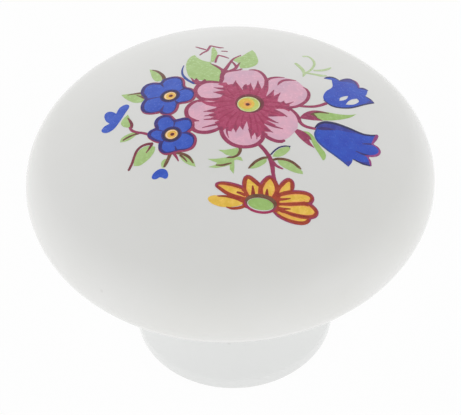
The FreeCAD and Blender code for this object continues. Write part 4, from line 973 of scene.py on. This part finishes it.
paint("bistre", pen([(0.55, -9.7), (0.7, -9.7), (0.84, -9.74)], 0.16),
      pen([(1.93, -9.9), (1.92, -9.5), (1.9, -9.15)], [0.2, 0.16, 0.08]),
      pen([(3.1, -9.9), (3.11, -9.65), (3.14, -9.42)], [0.18, 0.14, 0.08]),
      pen([(4.7, -10.2), (4.9, -10.17), (5.08, -10.13)], 0.1),
      pen([(4.75, -11.09), (4.9, -11.08), (5.02, -11.08)], 0.08),
      pen([(4.9, -11.5), (5.5, -11.62), (6.1, -11.66), (6.6, -11.66)], [0.08, 0.14, 0.14, 0.1]),
      pen([(-1.05, -9.96), (-0.5, -10.02), (0.1, -10.16)], [0.1, 0.12, 0.06]))
for ink, centre, radius, flat in (("streak", (2.5, -10.77), 1.4, 0.6),
                                  ("brown", (2.56, -10.6), 1.36, 0.56),
                                  (None, (2.5, -10.79), 1.14, 0.53),
                                  ("moss", (2.53, -10.76), 1.09, 0.49)):
    paint(ink, disc(centre, radius, flat, HEART_TURN))
print("shapes in all:", len(LAYERS))

# %% [markdown]
# Now the flat drawing becomes films of ink. All the outlines go through one triangulation, together with
# a loose grid of points, so that the triangles are small enough to follow the dome. An operator can't
# overlap outlines in this way, which is why this one mesh is made from a list of triangles. Each
# outline is then counted round the middle of every triangle: where it goes round, its ink lands.

# %% Cut the drawing into inks
GRID_STEP = 0.8
GRID_ROWS, GRID_COLUMNS = range(-18, 17), range(-16, 19)
ROW_SHARE = 0.866
BASES = ("pink", "green", "moss", "blue", "bell", "yellow", "orange", None)
OVERPRINT = {"green": "brown", "moss": "brown", "blue": "indigo", "bell": "indigo", "yellow": "rust",
             "orange": "rust"}

coords = []
edges = []
for ink, outline in LAYERS:
    start, count = len(coords), len(outline)
    coords.extend(outline)
    edges.extend((start + i, start + (i + 1) % count) for i in range(count))
for row in GRID_ROWS:
    for column in GRID_COLUMNS:
        shift = GRID_STEP / 2 if row % 2 else 0
        coords.append(Vector((column * GRID_STEP + shift, row * GRID_STEP * ROW_SHARE)))
places, _, triangles, _, _, _ = delaunay_2d_cdt(coords, edges, [], 0, 1e-5)
middles = np.array([(places[a] + places[b] + places[c]) / 3 for a, b, c in triangles])
print("triangles in the flat sheet:", len(triangles))


def goes_round(outline, points):
    """How many times an outline goes round each point."""
    corners = np.array(outline)
    near = np.all((points >= corners.min(0)) & (points <= corners.max(0)), axis=1)
    some = points[near]
    turns = np.zeros(len(some))
    x, y = some.T
    for start, end in zip(corners, np.roll(corners, -1, axis=0)):
        side = (end[0] - start[0]) * (y - start[1]) - (end[1] - start[1]) * (x - start[0])
        turns += (start[1] <= y) & (end[1] > y) & (side > 0)
        turns -= (start[1] > y) & (end[1] <= y) & (side < 0)
    result = np.zeros(len(points))
    result[near] = turns
    return result


lowest = [None] * len(triangles)
top = [None] * len(triangles)
for ink, outline in LAYERS:
    for i in np.flatnonzero(goes_round(outline, middles)):
        if ink in BASES:
            lowest[i] = ink
        top[i] = OVERPRINT.get(lowest[i], "line") if ink == "line" else ink
shown = {}
for triangle, ink in zip(triangles, top):
    if ink:
        shown.setdefault(ink, []).append(triangle)
for ink in sorted(shown):
    print(ink, len(shown[ink]))

# %% [markdown]
# Fired ink is thin, but it has some body, and it melts in so that it is nearly as glossy as the glaze.
# Each ink gets its own finish: two close tones that drift, a roughness a little above the glaze's, and a
# faint tilt of the surface, so that a highlight breaks up slightly as it crosses the print.


# %% Finishes of the inks
GLOSS_WHITE, GLOSS_KEEPS, DARKEST = 0.035, 0.86, 0.004


def fired_ink(name, dark, light, size):
    """A glossy fired ink that drifts between two tones."""
    material, tree, shader, place = new_finish(name)
    tree.links.new(drift(tree, grain(tree, place, size), dark, light), shader.inputs["Base Color"])
    tree.links.new(spread(tree, grain(tree, place, 0.3), 0.16, 0.3), shader.inputs["Roughness"])
    uneven(tree, shader, grain(tree, place, 0.35), 0.002)
    return material


def printed(red, green, blue):
    """The colour of an ink that is seen as this one, once its gloss has added a little white."""
    light = tone(red, green, blue)[:3]
    return (*[max(value - GLOSS_WHITE, DARKEST) / GLOSS_KEEPS for value in light], 1.0)


# Each ink's finish, its darker and its lighter tone, and the size of the patches between them
TONES = {
    "pink": ("fired_pink", (205, 166, 185), (220, 171, 189), 1.2),
    "core": ("fired_core", (164, 68, 98), (176, 80, 112), 0.6),
    "streak": ("fired_core_streaks", (152, 58, 88), (163, 68, 98), 0.6),
    "line": ("fired_line", (143, 64, 92), (158, 74, 102), 0.6),
    "maroon": ("fired_maroon", (118, 60, 72), (134, 70, 82), 0.6),
    "plum": ("fired_plum", (138, 66, 118), (152, 78, 132), 0.5),
    "brown": ("fired_line_on_green", (104, 76, 62), (122, 90, 76), 0.5),
    "bell": ("fired_bell_blue", (50, 77, 177), (60, 89, 187), 0.9),
    "dusk": ("fired_dark_blue", (60, 66, 146), (72, 78, 162), 0.6),
    "indigo": ("fired_line_on_blue", (58, 48, 110), (76, 62, 128), 0.5),
    "rust": ("fired_line_on_yellow", (148, 64, 50), (166, 80, 60), 0.5),
    "olive": ("fired_olive", (92, 66, 48), (112, 80, 60), 0.4),
    "bistre": ("fired_bistre", (128, 56, 26), (144, 68, 34), 0.4),
    "umber": ("fired_umber", (92, 52, 24), (108, 62, 30), 0.4),
    "navy": ("fired_navy", (30, 38, 84), (42, 50, 104), 0.4),
    "green": ("fired_green", (158, 186, 120), (169, 196, 134), 0.6),
    "moss": ("fired_dark_green", (148, 180, 106), (159, 190, 120), 0.6),
    "sprig": ("fired_pale_green", (172, 192, 142), (184, 202, 158), 0.5),
    "lime": ("fired_lime", (182, 194, 98), (196, 206, 122), 0.5),
    "pale": ("fired_pale_rim", (200, 204, 150), (212, 214, 172), 0.5),
    "blue": ("fired_blue", (60, 87, 182), (71, 99, 192), 0.9),
    "deep_blue": ("fired_deep_blue", (46, 70, 140), (58, 84, 156), 0.5),
    "yellow": ("fired_yellow", (216, 177, 76), (230, 191, 95), 0.6),
    "orange": ("fired_orange", (220, 150, 78), (232, 168, 100), 0.5),
    "peach": ("fired_peach", (236, 196, 150), (243, 208, 168), 0.5),
}
INKS = {ink: fired_ink(name, printed(*dark), printed(*light), size)
        for ink, (name, dark, light, size) in TONES.items()}
print("inks:", len(INKS))

# %% [markdown]
# One piece stands for each ink node of the CAD part. Its triangles are laid on the dome, extruded by the
# film's thickness and closed underneath, just inside the glaze. A film this thin would shade badly if
# its slim triangles tilted the light, so its top takes its normals from the dome's own sphere.

# %% Lay the films on the dome
FILM = 0.018
SUNK = 0.006
FILMS = [
    ("print_film_pink", "print_pink", "ink_pink", ["pink"]),
    ("print_film_magenta", "print_magenta", "ink_magenta",
     ["core", "streak", "line", "maroon", "plum", "brown", "indigo", "rust", "bistre", "olive", "umber",
      "navy"]),
    ("print_film_green", "print_green", "ink_green", ["green", "moss", "sprig", "lime", "pale"]),
    ("print_film_blue", "print_blue", "ink_blue", ["blue", "bell", "dusk", "deep_blue"]),
    ("print_film_yellow", "print_yellow", "ink_yellow", ["yellow", "orange", "peach"]),
]
ball = Vector((0, 0, DOME_CENTRE))
centre = ball * MM
middle_radius = (DOME_RADIUS + FILM / 2) * MM


def on_dome(point, lift):
    """The place straight above a point of the drawing, at a height over the dome."""
    radius = DOME_RADIUS + lift
    return Vector((point.x, point.y, DOME_CENTRE + math.sqrt(radius ** 2 - point.length_squared)))


for name, node, slot, inks in FILMS:
    bm = bmesh.new()
    made = {}
    for index, ink in enumerate(inks):
        for triangle in shown.get(ink, []):
            for corner in triangle:
                if corner not in made:
                    made[corner] = bm.verts.new(on_dome(places[corner], -SUNK))
            face = bm.faces.new([made[corner] for corner in triangle])
            face.material_index = index
    raised = bmesh.ops.extrude_face_region(bm, geom=bm.faces[:], use_keep_orig=True)["geom"]
    for vert in (item for item in raised if isinstance(item, bmesh.types.BMVert)):
        vert.co = ball + (vert.co - ball).normalized() * (DOME_RADIUS + FILM)
    bmesh.ops.recalc_face_normals(bm, faces=bm.faces)
    for face in bm.faces:
        face.smooth = True
    piece = finished(bm, name, [INKS[ink] for ink in inks], node)
    mesh = piece.data
    normals = []
    for polygon in mesh.polygons:
        out = [mesh.vertices[i].co - centre for i in polygon.vertices]
        on_top = all(way.length > middle_radius for way in out)
        normals.extend(way.normalized() if on_top else polygon.normal for way in out)
    mesh.normals_split_custom_set(normals)

# %% [markdown]
# The knob stands on a plain white floor in soft, even light, as in a light tent. The world is dimmer
# overhead than at the horizon, so that the dome is slightly greyer than the rim and the neck, and it
# leans: the far side and the left are a little brighter. One large soft lamp at the right fills the neck.
# The camera and the reflections see the floor and the world as white, and the floor still takes the
# knob's shadow.


# %% Floor and light
FLOOR_RADIUS = 1.5
FLOOR_GLOW = 0.7
FLOOR_WHITE = 0.95
WORLD_STRENGTH = 2.12
# How bright the world is at the heights from straight down, -1, to straight up, 1
WORLD_TONES = [(-1.0, 0.47), (-0.04, 0.47), (0.0, 1.0), (0.12, 0.67), (0.35, 0.6), (0.7, 0.485),
               (1.0, 0.07)]
WORLD_LEAN = (-0.026, 0.1, 0.0)
LAMP_SIZE, LAMP_ENERGY = 0.25, 0.03
LAMP_PLACE, LAMP_AIM = Vector((0.30, -0.25, 0.10)), Vector((0, 0, 0.015))


def seen_as_white(tree):
    """1 for the rays of the camera, of reflections and of clear pieces, and 0 for all others."""
    rays = add(tree, "ShaderNodeLightPath").outputs
    seen = rays["Is Camera Ray"]
    for kind in ("Is Glossy Ray", "Is Transmission Ray"):
        seen = add(tree, "ShaderNodeMath", {0: seen, 1: rays[kind]}, operation="MAXIMUM").outputs[0]
    return seen


bm = bmesh.new()
bmesh.ops.create_circle(bm, cap_ends=True, segments=64, radius=FLOOR_RADIUS)
mesh = bpy.data.meshes.new("floor")
bm.to_mesh(mesh)
bm.free()
floor = placed("floor", mesh)

white, tree, shader, place = new_finish("white_floor")
shader.inputs["Base Color"].default_value = (0.9, 0.9, 0.9, 1.0)
shader.inputs["Roughness"].default_value = 0.9
glow = add(tree, "ShaderNodeEmission")
share = add(tree, "ShaderNodeMapRange", {"Value": seen_as_white(tree)})
share.inputs["To Min"].default_value = FLOOR_GLOW
share.inputs["To Max"].default_value = FLOOR_WHITE
both = add(tree, "ShaderNodeMixShader",
           {0: share.outputs[0], 1: shader.outputs[0], 2: glow.outputs[0]})
tree.links.new(both.outputs[0], tree.nodes["Material Output"].inputs["Surface"])
floor.data.materials.append(white)

world = bpy.data.worlds.new("light_tent")
bpy.context.scene.world = world
world.use_nodes = True
tree = world.node_tree
sky = tree.nodes["Background"]
sky.inputs["Strength"].default_value = WORLD_STRENGTH
way = tree.nodes.new("ShaderNodeTexCoord").outputs["Generated"]
rise = add(tree, "ShaderNodeSeparateXYZ", {0: way}).outputs["Z"]
ramp = add(tree, "ShaderNodeValToRGB", {"Fac": spread(tree, rise, 0.0, 1.0, -1.0, 1.0)})
for height, light in WORLD_TONES[1:-1]:
    ramp.color_ramp.elements.new((height + 1) / 2)
for stop, (height, light) in zip(ramp.color_ramp.elements, WORLD_TONES):
    stop.position = (height + 1) / 2
    stop.color = (light, light, light, 1.0)
lean = add(tree, "ShaderNodeVectorMath", {0: way}, operation="DOT_PRODUCT")
lean.inputs[1].default_value = WORLD_LEAN
leaning = add(tree, "ShaderNodeMath", {0: ramp.outputs["Color"], 1: lean.outputs["Value"]})
tree.links.new(leaning.outputs[0], sky.inputs["Color"])
plain = add(tree, "ShaderNodeBackground")
plain.inputs["Color"].default_value = (1.0, 1.0, 1.0, 1.0)
mix = add(tree, "ShaderNodeMixShader",
          {0: seen_as_white(tree), 1: sky.outputs[0], 2: plain.outputs[0]})
tree.links.new(mix.outputs[0], tree.nodes["World Output"].inputs["Surface"])

lamp = bpy.data.lights.new("soft_lamp", "AREA")
lamp.shape = "DISK"
lamp.size = LAMP_SIZE
lamp.energy = LAMP_ENERGY
lamp.specular_factor = 0.0
stand = placed("soft_lamp", lamp)
stand.location = LAMP_PLACE
stand.rotation_euler = (LAMP_AIM - LAMP_PLACE).to_track_quat("-Z", "Y").to_euler()

bpy.context.scene.view_settings.view_transform = "Standard"
print("lamps:", len(bpy.data.lights), "floor radius, m:", FLOOR_RADIUS)
